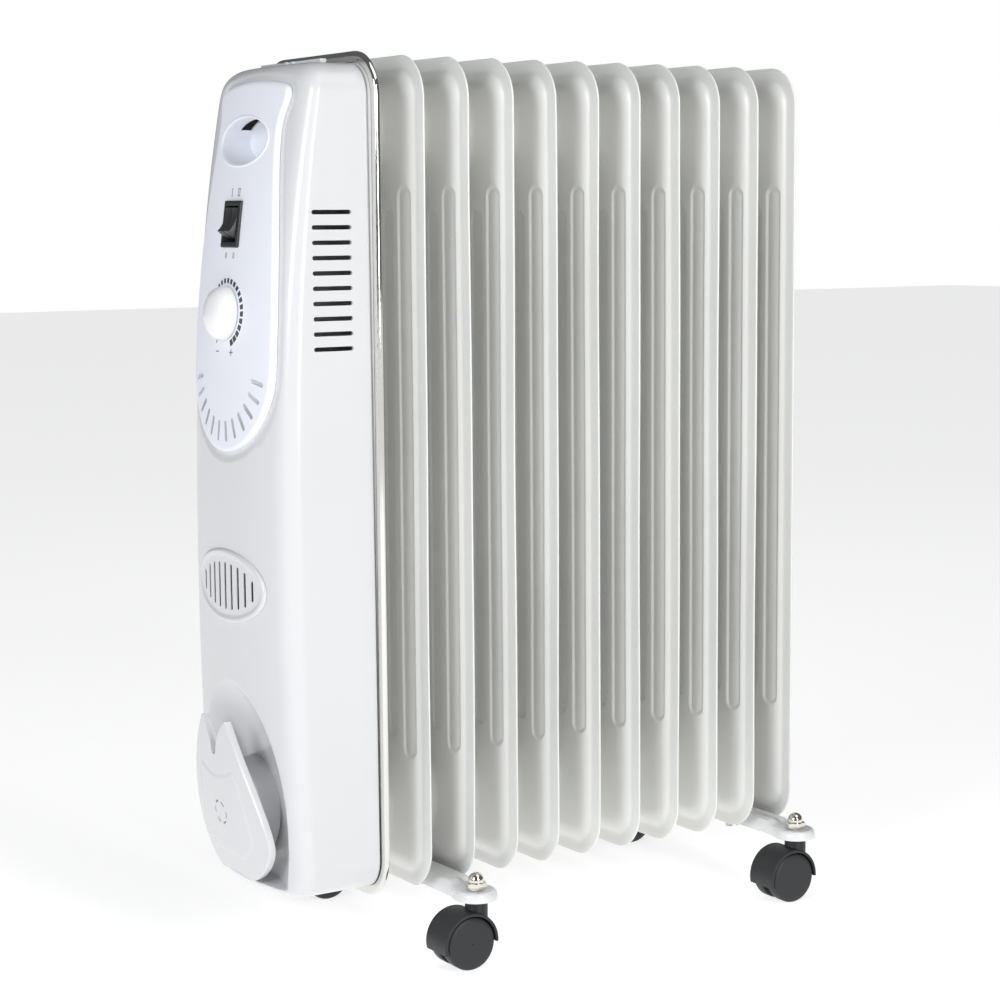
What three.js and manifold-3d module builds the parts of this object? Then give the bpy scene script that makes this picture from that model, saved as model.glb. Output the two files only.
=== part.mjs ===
// Oil filled radiator heater: eleven hollow steel fins, a control box on the
// front end, and two foot brackets on swivelling twin-wheel casters.
// Millimetres, +Z up, +X from the control box towards the last fin, -Y the near side.
// The model is drawn with the first fin's plane at X = 0 and moved at the end, so that
// its origin is under the middle of the whole object, on the floor.
import * as THREE from 'three';
import { mergeVertices } from 'three/addons/utils/BufferGeometryUtils.js';
import Module from 'manifold-3d';

const wasm = await Module();
wasm.setup();

// ---- driving dimensions ----------------------------------------------------------
const gap = 0.3;                 // clearance between pieces that touch
const finCount = 11;
const finPitch = 38.5;
const finWidth = 171;
const finHeight = 620;
const finCorner = 32;
const finBottom = 51.5;          // height of the fins above the floor
const sheet = 0.7;               // steel sheet of one fin half
const rimWidth = 11;             // welded flange round a fin
const shoulderWidth = 7;         // rounded shoulder inside the flange
const bodyHalf = 6.2;            // half the thickness of a fin's oil space
const headerRadius = 26;         // necks that join the fins
const collarFoot = 34;           // dished collar round each neck, on the fin's face
const collarRise = 6;
const collarSides = 10;
const headerTopDrop = 53;        // upper header below the top of a fin
const headerBottomRise = 57;     // lower header above the bottom of a fin

const ringMargin = 1.5;          // trim ring outside the fin's edge
const ringFront = -1.8;
const ringBack = 1.5;
const ringFlange = 8;

const boxBottom = 57.6;
const boxTop = 664.5;
const boxBack = -2.5;
const boxHalfBottom = 79.5;      // half width at the bottom and at the top
const boxHalfTop = 75;
const boxCorner = 24;
const boxDepth = 84.5;           // front of the box at its fullest
const fullestHeight = 290;
const lowerRounding = 9;         // rounding of the box's front edge at the bottom and top
const upperRounding = 14;
const frontBow = 0.0019;         // the front is a parabola across, x = bow * y * y
const frontShoulder = 64;        // half width where the front turns into its fillet
const sideDepth = 60;            // depth of the flat side before its fillet
const boxWall = 2.5;
const panelProud = 2;            // front panel and vent grille above the box

const gripHeight = 610;
const switchHeight = 550;
const knobHeight = 485.5;
const ventHeight = 285;
const dialCentre = 447;          // centre of the panel's round lower end
const panelRadius = 63;

const plateTop = 187;            // cord-wrap plate: tips of its prongs
const plateBottom = 65.5;
const plateFront = -99.6;        // front of the whole object
const plateBowAcross = 200;      // radii of the plate's two bows
const plateBowUp = 411;
const plateThickness = 6;
const plateHalf = 55;

const stemOffset = 4.3;          // caster stems behind the middle of their fin gap
const stemSide = 110;            // stems from the centre line
const bracketTop = 57;
const bracketLip = 7;
const bracketSheet = 2.5;
const padRadius = 16.5;
const wheelRadius = 20;
const wheelWidth = 11;
const wheelInner = 3.4;          // inner face of a wheel from the caster's middle
const wheelTrail = 12.5;
const stemFoot = 40;             // lower end of a caster's stem, above its wheels
const hoodRadius = 22.6;
const hoodInner = 21;

const finTop = finBottom + finHeight;
const headerTop = finTop - headerTopDrop;
const headerBottom = finBottom + headerBottomRise;
const lastFin = (finCount - 1) * finPitch;
const plugProud = 3;
const modelBack = lastFin + bodyHalf + plugProud;
const middle = (plateFront + modelBack) / 2;

// ---- materials -------------------------------------------------------------------
const paint = (color, roughness, metalness) =>
  () => new THREE.MeshStandardMaterial({ color, roughness, metalness });
const finPaint = paint(0xdedfdc, 0.35, 0.0);
const boxWhite = paint(0xf1f2f4, 0.25, 0.0);
const panelWhite = paint(0xe6e9f2, 0.4, 0.0);
const blackPlastic = paint(0x2e2f30, 0.5, 0.0);
const casterPlastic = paint(0x3a3b3d, 0.55, 0.0);
const chrome = paint(0xd8d8d6, 0.08, 1.0);
const zinc = paint(0xb9bcc0, 0.35, 0.9);
const copper = paint(0xb87f55, 0.35, 0.9);
const cream = paint(0xe8e2cf, 0.6, 0.0);

// ---- small tools -----------------------------------------------------------------
const group = new THREE.Group();
group.position.set(-middle, 0, 0);

const alongX = new THREE.Matrix4().makeBasis(
  new THREE.Vector3(0, 1, 0), new THREE.Vector3(0, 0, 1), new THREE.Vector3(1, 0, 0));
const alongY = new THREE.Matrix4().makeBasis(
  new THREE.Vector3(1, 0, 0), new THREE.Vector3(0, 0, 1), new THREE.Vector3(0, -1, 0));

function solid(geometry) {
  const bare = geometry.clone();
  bare.deleteAttribute('normal');
  bare.deleteAttribute('uv');
  const merged = mergeVertices(bare, 1e-4);
  return new wasm.Manifold(new wasm.Mesh({
    numProp: 3,
    vertProperties: new Float32Array(merged.attributes.position.array),
    triVerts: new Uint32Array(merged.index.array),
  }));
}

function add(name, body, material, parent = group) {
  const mesh = body.getMesh();
  const geometry = new THREE.BufferGeometry();
  geometry.setAttribute('position', new THREE.BufferAttribute(mesh.vertProperties, 3));
  geometry.setIndex(new THREE.BufferAttribute(mesh.triVerts, 1));
  geometry.computeVertexNormals();
  const piece = new THREE.Mesh(geometry, material());
  piece.name = name;
  parent.add(piece);
  return piece;
}

// an outline drawn in (Y, Z) made solid from x0 to x1
function prismX(shape, x0, x1, segments = 6) {
  const geometry = new THREE.ExtrudeGeometry(shape,
    { depth: x1 - x0, bevelEnabled: false, curveSegments: segments });
  return solid(geometry.applyMatrix4(alongX).translate(x0, 0, 0));
}

// an outline drawn in (X, Z) made solid from y0 to y1
function prismY(shape, y0, y1, segments = 6) {
  const geometry = new THREE.ExtrudeGeometry(shape,
    { depth: y1 - y0, bevelEnabled: false, curveSegments: segments });
  return solid(geometry.applyMatrix4(alongY).translate(0, y1, 0));
}

// an outline drawn in (X, Y) made solid from z0 to z1
function prismZ(shape, z0, z1, segments = 6) {
  const geometry = new THREE.ExtrudeGeometry(shape,
    { depth: z1 - z0, bevelEnabled: false, curveSegments: segments });
  return solid(geometry.translate(0, 0, z0));
}

function block(x0, x1, y0, y1, z0, z1) {
  const geometry = new THREE.BoxGeometry(x1 - x0, y1 - y0, z1 - z0);
  return solid(geometry.translate((x0 + x1) / 2, (y0 + y1) / 2, (z0 + z1) / 2));
}

function rodX(radius, x0, x1, y, z, sides = 12) {
  const geometry = new THREE.CylinderGeometry(radius, radius, x1 - x0, sides);
  return solid(geometry.rotateZ(-Math.PI / 2).translate((x0 + x1) / 2, y, z));
}

function rodY(radius, y0, y1, x, z, sides = 12) {
  const geometry = new THREE.CylinderGeometry(radius, radius, y1 - y0, sides);
  return solid(geometry.translate(x, (y0 + y1) / 2, z));
}

function rodZ(radius, z0, z1, x, y, sides = 12) {
  const geometry = new THREE.CylinderGeometry(radius, radius, z1 - z0, sides);
  return solid(geometry.rotateX(Math.PI / 2).translate(x, y, (z0 + z1) / 2));
}

// a turned piece; the profile is [radius, height] pairs from the axis back to the axis
function turned(profile, sides = 16) {
  const points = profile.map(([radius, height]) => new THREE.Vector2(radius, height));
  return new THREE.LatheGeometry(points, sides).rotateX(Math.PI / 2);
}

function roundedRect(halfWidth, z0, z1, radius) {
  const shape = new THREE.Shape();
  const quarter = Math.PI / 2;
  shape.moveTo(-halfWidth + radius, z0);
  shape.lineTo(halfWidth - radius, z0);
  shape.absarc(halfWidth - radius, z0 + radius, radius, -quarter, 0);
  shape.lineTo(halfWidth, z1 - radius);
  shape.absarc(halfWidth - radius, z1 - radius, radius, 0, quarter);
  shape.lineTo(-halfWidth + radius, z1);
  shape.absarc(-halfWidth + radius, z1 - radius, radius, quarter, 2 * quarter);
  shape.lineTo(-halfWidth, z0 + radius);
  shape.absarc(-halfWidth + radius, z0 + radius, radius, 2 * quarter, 3 * quarter);
  return shape;
}

// a slot with round ends between two points, as an outline
function slot(x0, y0, x1, y1, width) {
  const angle = Math.atan2(y1 - y0, x1 - x0);
  const shape = new THREE.Shape();
  shape.absarc(x1, y1, width / 2, angle - Math.PI / 2, angle + Math.PI / 2);
  shape.absarc(x0, y0, width / 2, angle + Math.PI / 2, angle + 3 * Math.PI / 2);
  shape.closePath();
  return shape;
}

function ellipse(y, z, halfWidth, halfHeight) {
  const shape = new THREE.Shape();
  shape.absellipse(y, z, halfWidth, halfHeight, 0, 2 * Math.PI);
  return shape;
}

// ---- fins ------------------------------------------------------------------------
function finPlate(inset, x0, x1) {
  const outline = roundedRect(finWidth / 2 - inset, finBottom + inset, finTop - inset,
    finCorner - inset);
  return prismX(outline, x0, x1, 3);
}

// the swollen middle of a fin, or with wall > 0 the oil space inside it
function finBody(wall) {
  const flat = 2 * sheet;
  const faceInset = rimWidth + shoulderWidth;
  const outline = roundedRect(finWidth / 2 - faceInset, finBottom + faceInset,
    finTop - faceInset, finCorner - faceInset);
  const rise = bodyHalf - sheet - wall;
  const geometry = new THREE.ExtrudeGeometry(outline, {
    depth: flat,
    bevelThickness: rise,
    bevelSize: shoulderWidth - wall,
    bevelSegments: 1,
    curveSegments: 2,
  });
  return solid(geometry.applyMatrix4(alongX).translate(-flat / 2, 0, 0));
}

// a welded neck and the dished collar at its foot, or with wall > 0 the room inside them
function collar(z, side, wall, reach) {
  const ends = [0, side * reach].sort((a, b) => a - b);
  const neck = rodX(headerRadius - wall, ends[0], ends[1], 0, z, collarSides);
  const tip = headerRadius + 1 - wall;
  const cone = new THREE.CylinderGeometry(tip, collarFoot, collarRise, collarSides);
  cone.rotateZ(-side * Math.PI / 2);
  cone.translate(side * (bodyHalf - wall + collarRise / 2), 0, z);
  return neck.add(solid(cone));
}

function fin(hasFront, hasBack) {
  let outside = finPlate(0, -sheet, sheet).add(finBody(0));
  let inside = finBody(sheet);
  const reach = finPitch / 2 - gap / 2;
  for (const z of [headerBottom, headerTop]) {
    if (hasBack) {
      outside = outside.add(collar(z, 1, 0, reach));
      inside = inside.add(collar(z, 1, sheet, reach + 1));
    }
    if (hasFront) {
      outside = outside.add(collar(z, -1, 0, reach));
      inside = inside.add(collar(z, -1, sheet, reach + 1));
    }
  }
  return outside.subtract(inside);
}

// the first fin has only the heating element's threaded boss on its front
const elementBossReach = 11;
const elementThread = 17;
function firstFin() {
  const boss = rodX(elementThread + 5, -elementBossReach, -1, 0, headerBottom, 20);
  const thread = rodX(elementThread, -elementBossReach - 1, 0, 0, headerBottom, 20);
  return fin(false, true).add(boss).subtract(thread);
}

const fillerHole = 8.3;
function lastFinBody() {
  const hole = rodX(fillerHole, 0, bodyHalf + 1, 0, headerTop, 12);
  return fin(true, false).subtract(hole);
}

const middleFin = fin(true, true);
for (let index = 0; index < finCount; index += 1) {
  const name = `fin_${String(index + 1).padStart(2, '0')}`;
  const body = index === 0 ? firstFin() : index === finCount - 1 ? lastFinBody() : middleFin;
  add(name, body, finPaint).position.x = index * finPitch;
}

function fillerPlug() {
  return rodX(fillerHole - gap, bodyHalf - 4, bodyHalf + plugProud, 0, headerTop, 12);
}
add('oil_filler_plug', fillerPlug(), zinc).position.x = lastFin;

// ---- heating element -------------------------------------------------------------
const elementRod = 4;
const elementSpread = 9;
const elementHexBack = -elementBossReach - gap;
const elementHexFront = -elementBossReach - 7;
const shieldHole = 26;

function elementPlug() {
  const hex = rodX(elementThread + 5, elementHexFront, elementHexBack, 0, headerBottom, 6);
  const thread = rodX(elementThread - gap, elementHexBack - 1, -2, 0, headerBottom, 20);
  let plug = hex.add(thread);
  for (const y of [-elementSpread, elementSpread]) {
    plug = plug.subtract(rodX(elementRod + gap, elementHexFront - 1, 0, y, headerBottom, 12));
  }
  return plug;
}
add('element_plug', elementPlug(), zinc);

function heatingElement() {
  const front = elementHexFront - 12;
  const back = lastFin - finPitch;
  const path = new THREE.CurvePath();
  const point = (x, y) => new THREE.Vector3(x, y, headerBottom);
  path.add(new THREE.LineCurve3(point(front, elementSpread), point(back, elementSpread)));
  const bendX = back + 1.9 * elementSpread;
  path.add(new THREE.CubicBezierCurve3(point(back, elementSpread), point(bendX, elementSpread),
    point(bendX, -elementSpread), point(back, -elementSpread)));
  path.add(new THREE.LineCurve3(point(back, -elementSpread), point(front, -elementSpread)));
  const section = new THREE.Shape().absarc(0, 0, elementRod, 0, 2 * Math.PI);
  return solid(new THREE.ExtrudeGeometry(section,
    { steps: 30, extrudePath: path, curveSegments: 3 }));
}
add('heating_element', heatingElement(), copper);

// ---- trim ring -------------------------------------------------------------------
function trimRing() {
  const outline = (inset) => roundedRect(finWidth / 2 - inset, finBottom + inset,
    finTop - inset, finCorner - inset);
  const blank = prismX(outline(-ringMargin), ringFront, ringBack, 5);
  const window = prismX(outline(ringFlange - ringMargin), ringFront - 1, ringBack + 1, 5);
  const pocket = prismX(outline(-gap), -sheet - gap, ringBack + 1, 5);
  return blank.subtract(window).subtract(pocket);
}
add('chrome_trim_ring', trimRing(), chrome);

// ---- control box -----------------------------------------------------------------
// depth of the bowed front at a height, and half width of the drafted sides
function frontDepth(z) {
  const above = Math.max(0, z - fullestHeight) / 320;
  const below = Math.max(0, fullestHeight - z) / 232;
  return boxDepth - 23.5 * above ** 2.6 - 9 * below ** 2;
}

function boxHalfWidth(z) {
  const share = (z - boxBottom) / (boxTop - boxBottom);
  return boxHalfBottom + (boxHalfTop - boxHalfBottom) * share;
}

// how far a round of this radius draws in, at a distance from the end
function roundOff(distance, radius) {
  const rest = Math.max(0, radius - distance);
  return radius - Math.sqrt(radius * radius - rest * rest);
}

function boxStations(z0, z1, corner) {
  const round = [0, 0.07, 0.27, 0.6, 1].map((share) => share * corner);
  const straight = 8;
  const low = round.map((rise) => z0 + rise);
  const high = round.map((drop) => z1 - drop).reverse();
  const first = z0 + corner;
  const span = z1 - z0 - 2 * corner;
  const between = Array.from({ length: straight - 1 },
    (unused, index) => first + span * (index + 1) / straight);
  return [...low, ...between, ...high];
}

// section of the box seen from above, at its fullest, grown outwards by an amount
function boxPlan(grow, back) {
  const half = boxHalfBottom + grow;
  const shoulderX = -boxDepth - grow + frontBow * frontShoulder ** 2;
  const cornerX = shoulderX + 2 * frontBow * frontShoulder * (half - frontShoulder);
  const crownX = -boxDepth - grow - frontBow * frontShoulder ** 2;
  const shape = new THREE.Shape();
  shape.moveTo(back, -half);
  shape.lineTo(back, half);
  shape.lineTo(-sideDepth, half);
  shape.quadraticCurveTo(cornerX, half, shoulderX, frontShoulder);
  shape.quadraticCurveTo(crownX, 0, shoulderX, -frontShoulder);
  shape.quadraticCurveTo(cornerX, -half, -sideDepth, -half);
  shape.closePath();
  return shape;
}

// the box as a solid, grown outwards (or inwards) by an amount
function boxLoft(grow, back = boxBack) {
  const z0 = boxBottom - grow;
  const z1 = boxTop + grow;
  const corner = boxCorner + grow;
  const stations = boxStations(z0, z1, corner);
  const steps = stations.length - 1;
  const geometry = new THREE.ExtrudeGeometry(boxPlan(grow, back),
    { depth: steps, steps, bevelEnabled: false, curveSegments: 4 });
  const place = geometry.attributes.position;
  for (let index = 0; index < place.count; index += 1) {
    const z = stations[Math.round(place.getZ(index))];
    const fromEnd = Math.min(z - z0, z1 - z);
    const half = boxHalfWidth(z) + grow;
    const width = (half - roundOff(fromEnd, corner)) / (boxHalfBottom + grow);
    const edge = z > fullestHeight ? upperRounding : lowerRounding;
    const depth = (frontDepth(z) + grow - roundOff(fromEnd, edge)) / (boxDepth + grow);
    const x = place.getX(index);
    place.setX(index, x < back ? back + (x - back) * depth : x);
    place.setY(index, place.getY(index) * width);
    place.setZ(index, z);
  }
  return solid(geometry);
}

// the round-cornered scoop that takes the wound cord
const scoopFront = -85.5;
const scoopHeight = 110;
const scoopFloor = 63.5;
const scoopDepth = 24;
function scoop(wall) {
  const ball = new THREE.SphereGeometry(1, 18, 12);
  ball.rotateX(Math.PI / 2);
  ball.scale(scoopDepth + wall, 66 + wall, 104 + wall);
  ball.translate(scoopFront, 0, scoopHeight);
  const room = block(-2 * boxDepth, 0, -boxDepth, boxDepth, scoopFloor - wall, 2 * scoopHeight);
  return solid(ball).intersect(room);
}

function panelOutline() {
  const waist = 47.5;
  const waistHeight = 618;
  const shoulder = 53;
  const shape = new THREE.Shape();
  shape.moveTo(panelRadius, dialCentre);
  shape.bezierCurveTo(panelRadius, dialCentre + 98, waist, 590, waist, waistHeight);
  shape.bezierCurveTo(waist, 630, shoulder, 634, shoulder, 641);
  shape.bezierCurveTo(shoulder, 648, 46, 649, 38, 650.5);
  shape.quadraticCurveTo(0, 656, -38, 650.5);
  shape.bezierCurveTo(-46, 649, -shoulder, 648, -shoulder, 641);
  shape.bezierCurveTo(-shoulder, 634, -waist, 630, -waist, waistHeight);
  shape.bezierCurveTo(-waist, 590, -panelRadius, dialCentre + 98, -panelRadius, dialCentre);
  shape.absarc(0, dialCentre, panelRadius, Math.PI, 2 * Math.PI);
  return shape;
}

// sets a piece, drawn about the origin with its base at X = 0, on the panel's sloping face
function onPanel(body, z) {
  const slope = (frontDepth(z - 1) - frontDepth(z + 1)) / 2;
  return body.rotate([0, THREE.MathUtils.radToDeg(Math.atan(slope)), 0])
    .translate([-frontDepth(z) - panelProud - gap, 0, z]);
}

const grip = { halfWidth: 37, halfHeight: 17.5, back: -39, wall: 2, roofOpening: -50 };
const switchHalf = { width: 13, height: 17 };
const switchBody = { width: 11.5, height: 14.8 };
const switchHole = () => onPanel(prismX(roundedRect(switchBody.width + gap,
  -switchBody.height - gap, switchBody.height + gap, 1), -30, 30, 1), switchHeight);
const spindleRadius = 3;
const spindleHole = (radius) => onPanel(rodX(radius, -30, 30, 0, 0), knobHeight);
const front = -2 * boxDepth;     // well in front of everything
const ventSlots = 12;
const grilleSlots = 9;

function sideSlots() {
  const count = 10;
  const pitch = 10.8;
  const lowest = 461;
  const outlines = Array.from({ length: count }, (unused, index) => {
    const z = lowest + index * pitch;
    return slot(-44, z, -17, z, 3.2);
  });
  return outlines.map((outline) => prismY(outline, -boxHalfBottom - 1, boxHalfBottom + 1, 1));
}

function controlHousing() {
  let body = boxLoft(0).subtract(scoop(0));
  body = body.subtract(boxLoft(-boxWall, boxBack + 1).subtract(scoop(boxWall)));
  const cuts = [
    prismX(ellipse(0, gripHeight, grip.halfWidth + gap, grip.halfHeight + gap), front, -40, 8),
    switchHole(),
    spindleHole(8),
    prismX(ellipse(0, 412, 45, 17), front, -40, 5),
    prismX(ellipse(0, ventHeight, 46, 20), front, -40, 5),
    rodX(hub.socket, front, -40, 0, hub.height),
    rodZ(gland.radius, 0, 90, gland.x, 0),
    ...sideSlots(),
  ];
  cuts.forEach((cut) => {
    body = body.subtract(cut);
  });
  return body;
}

// a skin that lies on the box's front, cut to an outline
function frontSkin(outline, proud, segments) {
  const skin = boxLoft(proud).subtract(boxLoft(gap));
  return skin.intersect(prismX(outline, front, -30, segments));
}

function radialSlots() {
  const inner = 41;
  const outer = 54;
  const sweep = Math.PI * 0.865;
  return Array.from({ length: ventSlots }, (unused, index) => {
    const angle = -Math.PI / 2 + sweep * (index / (ventSlots - 1) - 0.5);
    const y = Math.cos(angle);
    const z = Math.sin(angle);
    const outline = slot(inner * y, dialCentre + inner * z, outer * y, dialCentre + outer * z, 3.4);
    return prismX(outline, front, -30, 1);
  });
}

function fasciaPanel() {
  let body = frontSkin(panelOutline(), panelProud + gap, 5);
  const cuts = [
    prismX(ellipse(0, gripHeight, grip.halfWidth + gap, grip.halfHeight + gap), front, -30, 8),
    switchHole(),
    spindleHole(5),
    ...radialSlots(),
  ];
  cuts.forEach((cut) => {
    body = body.subtract(cut);
  });
  return body;
}

function gripCup() {
  const { halfWidth, halfHeight, back, wall } = grip;
  const outer = prismX(ellipse(0, gripHeight, halfWidth, halfHeight), front, back, 8);
  const inner = prismX(ellipse(0, gripHeight, halfWidth - wall, halfHeight - wall),
    front - 1, back - wall, 8);
  const roof = block(grip.roofOpening, back - wall, -halfWidth, halfWidth, gripHeight + 9,
    gripHeight + halfHeight + 1);
  return outer.subtract(inner).subtract(roof).intersect(boxLoft(0));
}

function ventGrille() {
  let body = frontSkin(ellipse(0, ventHeight, 54, 27.5), panelProud + gap, 6);
  const pitch = 9.55;
  const centre = (grilleSlots - 1) / 2;
  for (let index = 0; index < grilleSlots; index += 1) {
    const y = (index - centre) * pitch;
    const reach = 17.5 * Math.sqrt(1 - (y / 42.5) ** 2) - 1.4;
    const outline = slot(y, ventHeight - reach, y, ventHeight + reach, 2.8);
    body = body.subtract(prismX(outline, front, -30, 1));
  }
  return body;
}

function topStrip() {
  const z = boxTop + gap;
  const strip = block(-24, -6, -47, 47, z, z + 3);
  const bump = (y) => block(-25.5, -24, y - 2, y + 2, z, z + 3);
  return strip.add(bump(-5)).add(bump(5));
}

// ---- cord winder -----------------------------------------------------------------
const hub = { height: 118, halfWidth: 32, halfHeight: 36, socket: 12 };
const gland = { x: -36, radius: 8 };

// a slab bowed like the cord-wrap plate, between two depths behind its front
function bowedSlab(depth0, depth1) {
  const thickness = depth1 - depth0;
  const high = plateTop - plateBottom + 20;
  const geometry = new THREE.BoxGeometry(thickness, 2 * plateHalf + 20, high, 1, 8, 8);
  geometry.translate(plateFront + (depth0 + depth1) / 2, 0, (plateTop + plateBottom) / 2);
  const place = geometry.attributes.position;
  for (let index = 0; index < place.count; index += 1) {
    const y = place.getY(index);
    const drop = Math.max(0, plateTop - place.getZ(index));
    const bow = y * y / (2 * plateBowAcross) + drop * drop / (2 * plateBowUp);
    place.setX(index, place.getX(index) + bow);
  }
  return solid(geometry);
}

// a rounded shield with two prongs above a notch and a shallow bay below
function plateOutline() {
  const tip = 18.9;
  const notch = { half: 3.6, height: 163 };
  const toe = 24;
  const widest = 100;
  const flank = { half: 37.3, height: 155 };
  const shape = new THREE.Shape();
  shape.moveTo(toe, plateBottom);
  shape.bezierCurveTo(36, 70, plateHalf, 84, plateHalf, widest);
  shape.bezierCurveTo(plateHalf, 116, 45, 140, flank.half, flank.height);
  shape.quadraticCurveTo(28, 173.5, tip, plateTop);
  shape.quadraticCurveTo(notch.half + 1, 176, notch.half, notch.height);
  shape.absarc(0, notch.height, notch.half, 0, -Math.PI, true);
  shape.quadraticCurveTo(-notch.half - 1, 176, -tip, plateTop);
  shape.quadraticCurveTo(-28, 173.5, -flank.half, flank.height);
  shape.bezierCurveTo(-45, 140, -plateHalf, 116, -plateHalf, widest);
  shape.bezierCurveTo(-plateHalf, 84, -36, 70, -toe, plateBottom);
  shape.quadraticCurveTo(0, plateBottom + 5, toe, plateBottom);
  return shape;
}

function cordWrapPlate() {
  return bowedSlab(0, plateThickness).intersect(prismX(plateOutline(), front, -40, 5));
}

function cordWrapHub() {
  const base = scoopFront + scoopDepth - 3;
  const drum = prismX(ellipse(0, hub.height, hub.halfWidth, hub.halfHeight), plateFront, base, 8);
  const spigot = rodX(hub.socket - gap, base - 1, base + 8, 0, hub.height);
  return drum.add(spigot).subtract(bowedSlab(-40, plateThickness + gap)).subtract(hubClear());
}

// the scoop's own surface, thickened inwards, that the hub stands on
function hubClear() {
  const room = block(-boxDepth, 0, -60, 60, scoopFloor, 220);
  const spigotHole = rodX(hub.socket - gap, front, 0, 0, hub.height);
  return room.subtract(scoop(-gap)).subtract(spigotHole);
}

function cordGland() {
  const flange = rodZ(gland.radius + 3, boxBottom - 3, boxBottom - gap, gland.x, 0);
  const sleeve = rodZ(gland.radius - gap, boxBottom - 1, boxBottom + 14, gland.x, 0);
  const bore = rodZ(4, boxBottom - 10, boxBottom + 20, gland.x, 0);
  return flange.add(sleeve).subtract(bore);
}

add('control_housing', controlHousing(), boxWhite);
add('fascia_panel', fasciaPanel(), panelWhite);
add('grip_cup', gripCup(), panelWhite);
add('vent_grille', ventGrille(), boxWhite);
add('top_strip', topStrip(), boxWhite);
add('cord_wrap_hub', cordWrapHub(), boxWhite);
add('cord_wrap_plate', cordWrapPlate(), boxWhite);
add('cord_gland', cordGland(), blackPlastic);

// ---- behind the panel ------------------------------------------------------------
const shieldBack = -8.5;
const shieldFront = shieldBack - 1;

function heatShield() {
  const outline = roundedRect(70, boxBottom + 8, boxTop - 8, 18);
  const hole = rodX(shieldHole, shieldFront - 1, shieldBack + 1, 0, headerBottom, 24);
  return prismX(outline, shieldFront, shieldBack, 4).subtract(hole);
}
add('heat_shield', heatShield(), zinc);

// the switch: bezel on the panel, body through it, a well for two rockers
const rocker = { nose: 11.5, noseHeight: 9.2, side: 3, sideHeight: 11.6, heel: 10.5,
  halfWidth: 4.6, spread: 5, pivotDepth: 6, tilt: 15 };
const wellHalf = { width: 10.2, height: 13.4 };

function switchFrame() {
  const bezelFront = -1.8;
  const bezel = prismX(roundedRect(switchHalf.width, -switchHalf.height, switchHalf.height, 1.5),
    bezelFront, 8, 2);
  const body = prismX(roundedRect(switchBody.width, -switchBody.height, switchBody.height, 0.8),
    bezelFront + 1, 22, 1);
  const well = block(bezelFront - 1, 18, -wellHalf.width, wellHalf.width, -wellHalf.height,
    wellHalf.height);
  const outsidePanel = boxLoft(panelProud + 2 * gap);
  return onPanel(bezel, switchHeight).subtract(outsidePanel)
    .add(onPanel(body, switchHeight)).subtract(onPanel(well, switchHeight));
}
add('switch_frame', switchFrame(), blackPlastic);

// a rocker about its pivot, tipped so that its upper end is pressed in
function rockerBody() {
  const { nose, noseHeight, side, sideHeight, heel, halfWidth, pivotDepth, tilt } = rocker;
  const shape = new THREE.Shape();
  shape.moveTo(-nose, noseHeight);
  shape.quadraticCurveTo(-nose + 4.2, 0, -nose, -noseHeight);
  shape.lineTo(-side, -sideHeight);
  shape.absarc(0, 0, heel, Math.PI + 1.2, 3 * Math.PI - 1.2);
  shape.lineTo(-side, sideHeight);
  const tipped = prismY(shape, -halfWidth, halfWidth, 6).rotate([0, tilt, 0]);
  return onPanel(tipped.translate([pivotDepth, 0, 0]), switchHeight);
}

for (const [name, side] of [['rocker_left', 1], ['rocker_right', -1]]) {
  add(name, rockerBody(), blackPlastic).position.y = side * rocker.spread;
}

// thermostat: domed knob on a spindle, body behind the panel
const knobRadius = 19.7;
const knobHigh = 14;
const knobTip = -gap - knobHigh;
const spindleEnd = 13;
function thermostatKnob() {
  const profile = [[0, 0], [knobRadius, 0], [knobRadius, 3.5], [knobRadius - 1.5, 7.5],
    [knobRadius - 5, 11], [knobRadius - 11, 13.3], [0, knobHigh]];
  const dome = solid(turned(profile, 24).rotateY(-Math.PI / 2).translate(-gap, 0, 0));
  const socket = rodX(spindleRadius + gap / 2, knobTip + 5, 1, 0, 0);
  return onPanel(dome.subtract(socket), knobHeight);
}
add('thermostat_knob', thermostatKnob(), boxWhite);
add('thermostat_spindle', onPanel(rodX(spindleRadius, knobTip + 5.5, spindleEnd, 0, 0),
  knobHeight), zinc);

function thermostatBody() {
  const bodyFront = panelProud + boxWall + 2;
  const body = prismX(roundedRect(16, -18, 18, 2), bodyFront, bodyFront + 22, 2);
  const bore = rodX(spindleRadius + gap, 0, spindleEnd + 1, 0, 0);
  return onPanel(body.subtract(bore), knobHeight);
}
add('thermostat_body', thermostatBody(), cream);

const onShield = shieldFront - gap;
function terminalBlock() {
  const base = block(onShield - 18, onShield, -24, 24, 315, 335);
  const wells = [-16, 0, 16].map((y) => rodX(4, front, onShield - 8, y, 325, 10));
  return wells.reduce((body, well) => body.subtract(well), base);
}
add('terminal_block', terminalBlock(), cream);

function thermalCutout() {
  const can = rodX(9, onShield - 8, onShield, 0, 400);
  const cap = rodX(7, onShield - 12, onShield - 7, 0, 400);
  return can.add(cap);
}
add('thermal_cutout', thermalCutout(), zinc);

// ---- feet ------------------------------------------------------------------------
const wire = 3;
const uBoltRadius = headerRadius + gap + wire;
const webHalf = 13.8;

function bracketBlank(inset, z0, z1) {
  const shape = roundedRect(webHalf - inset, -stemSide, stemSide, 2);
  const web = prismZ(shape, z0, z1, 2).translate([stemOffset, 0, 0]);
  const pads = [-stemSide, stemSide].map((y) =>
    rodZ(padRadius - inset, z0, z1, stemOffset, y, 20));
  return web.add(pads[0]).add(pads[1]);
}

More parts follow.
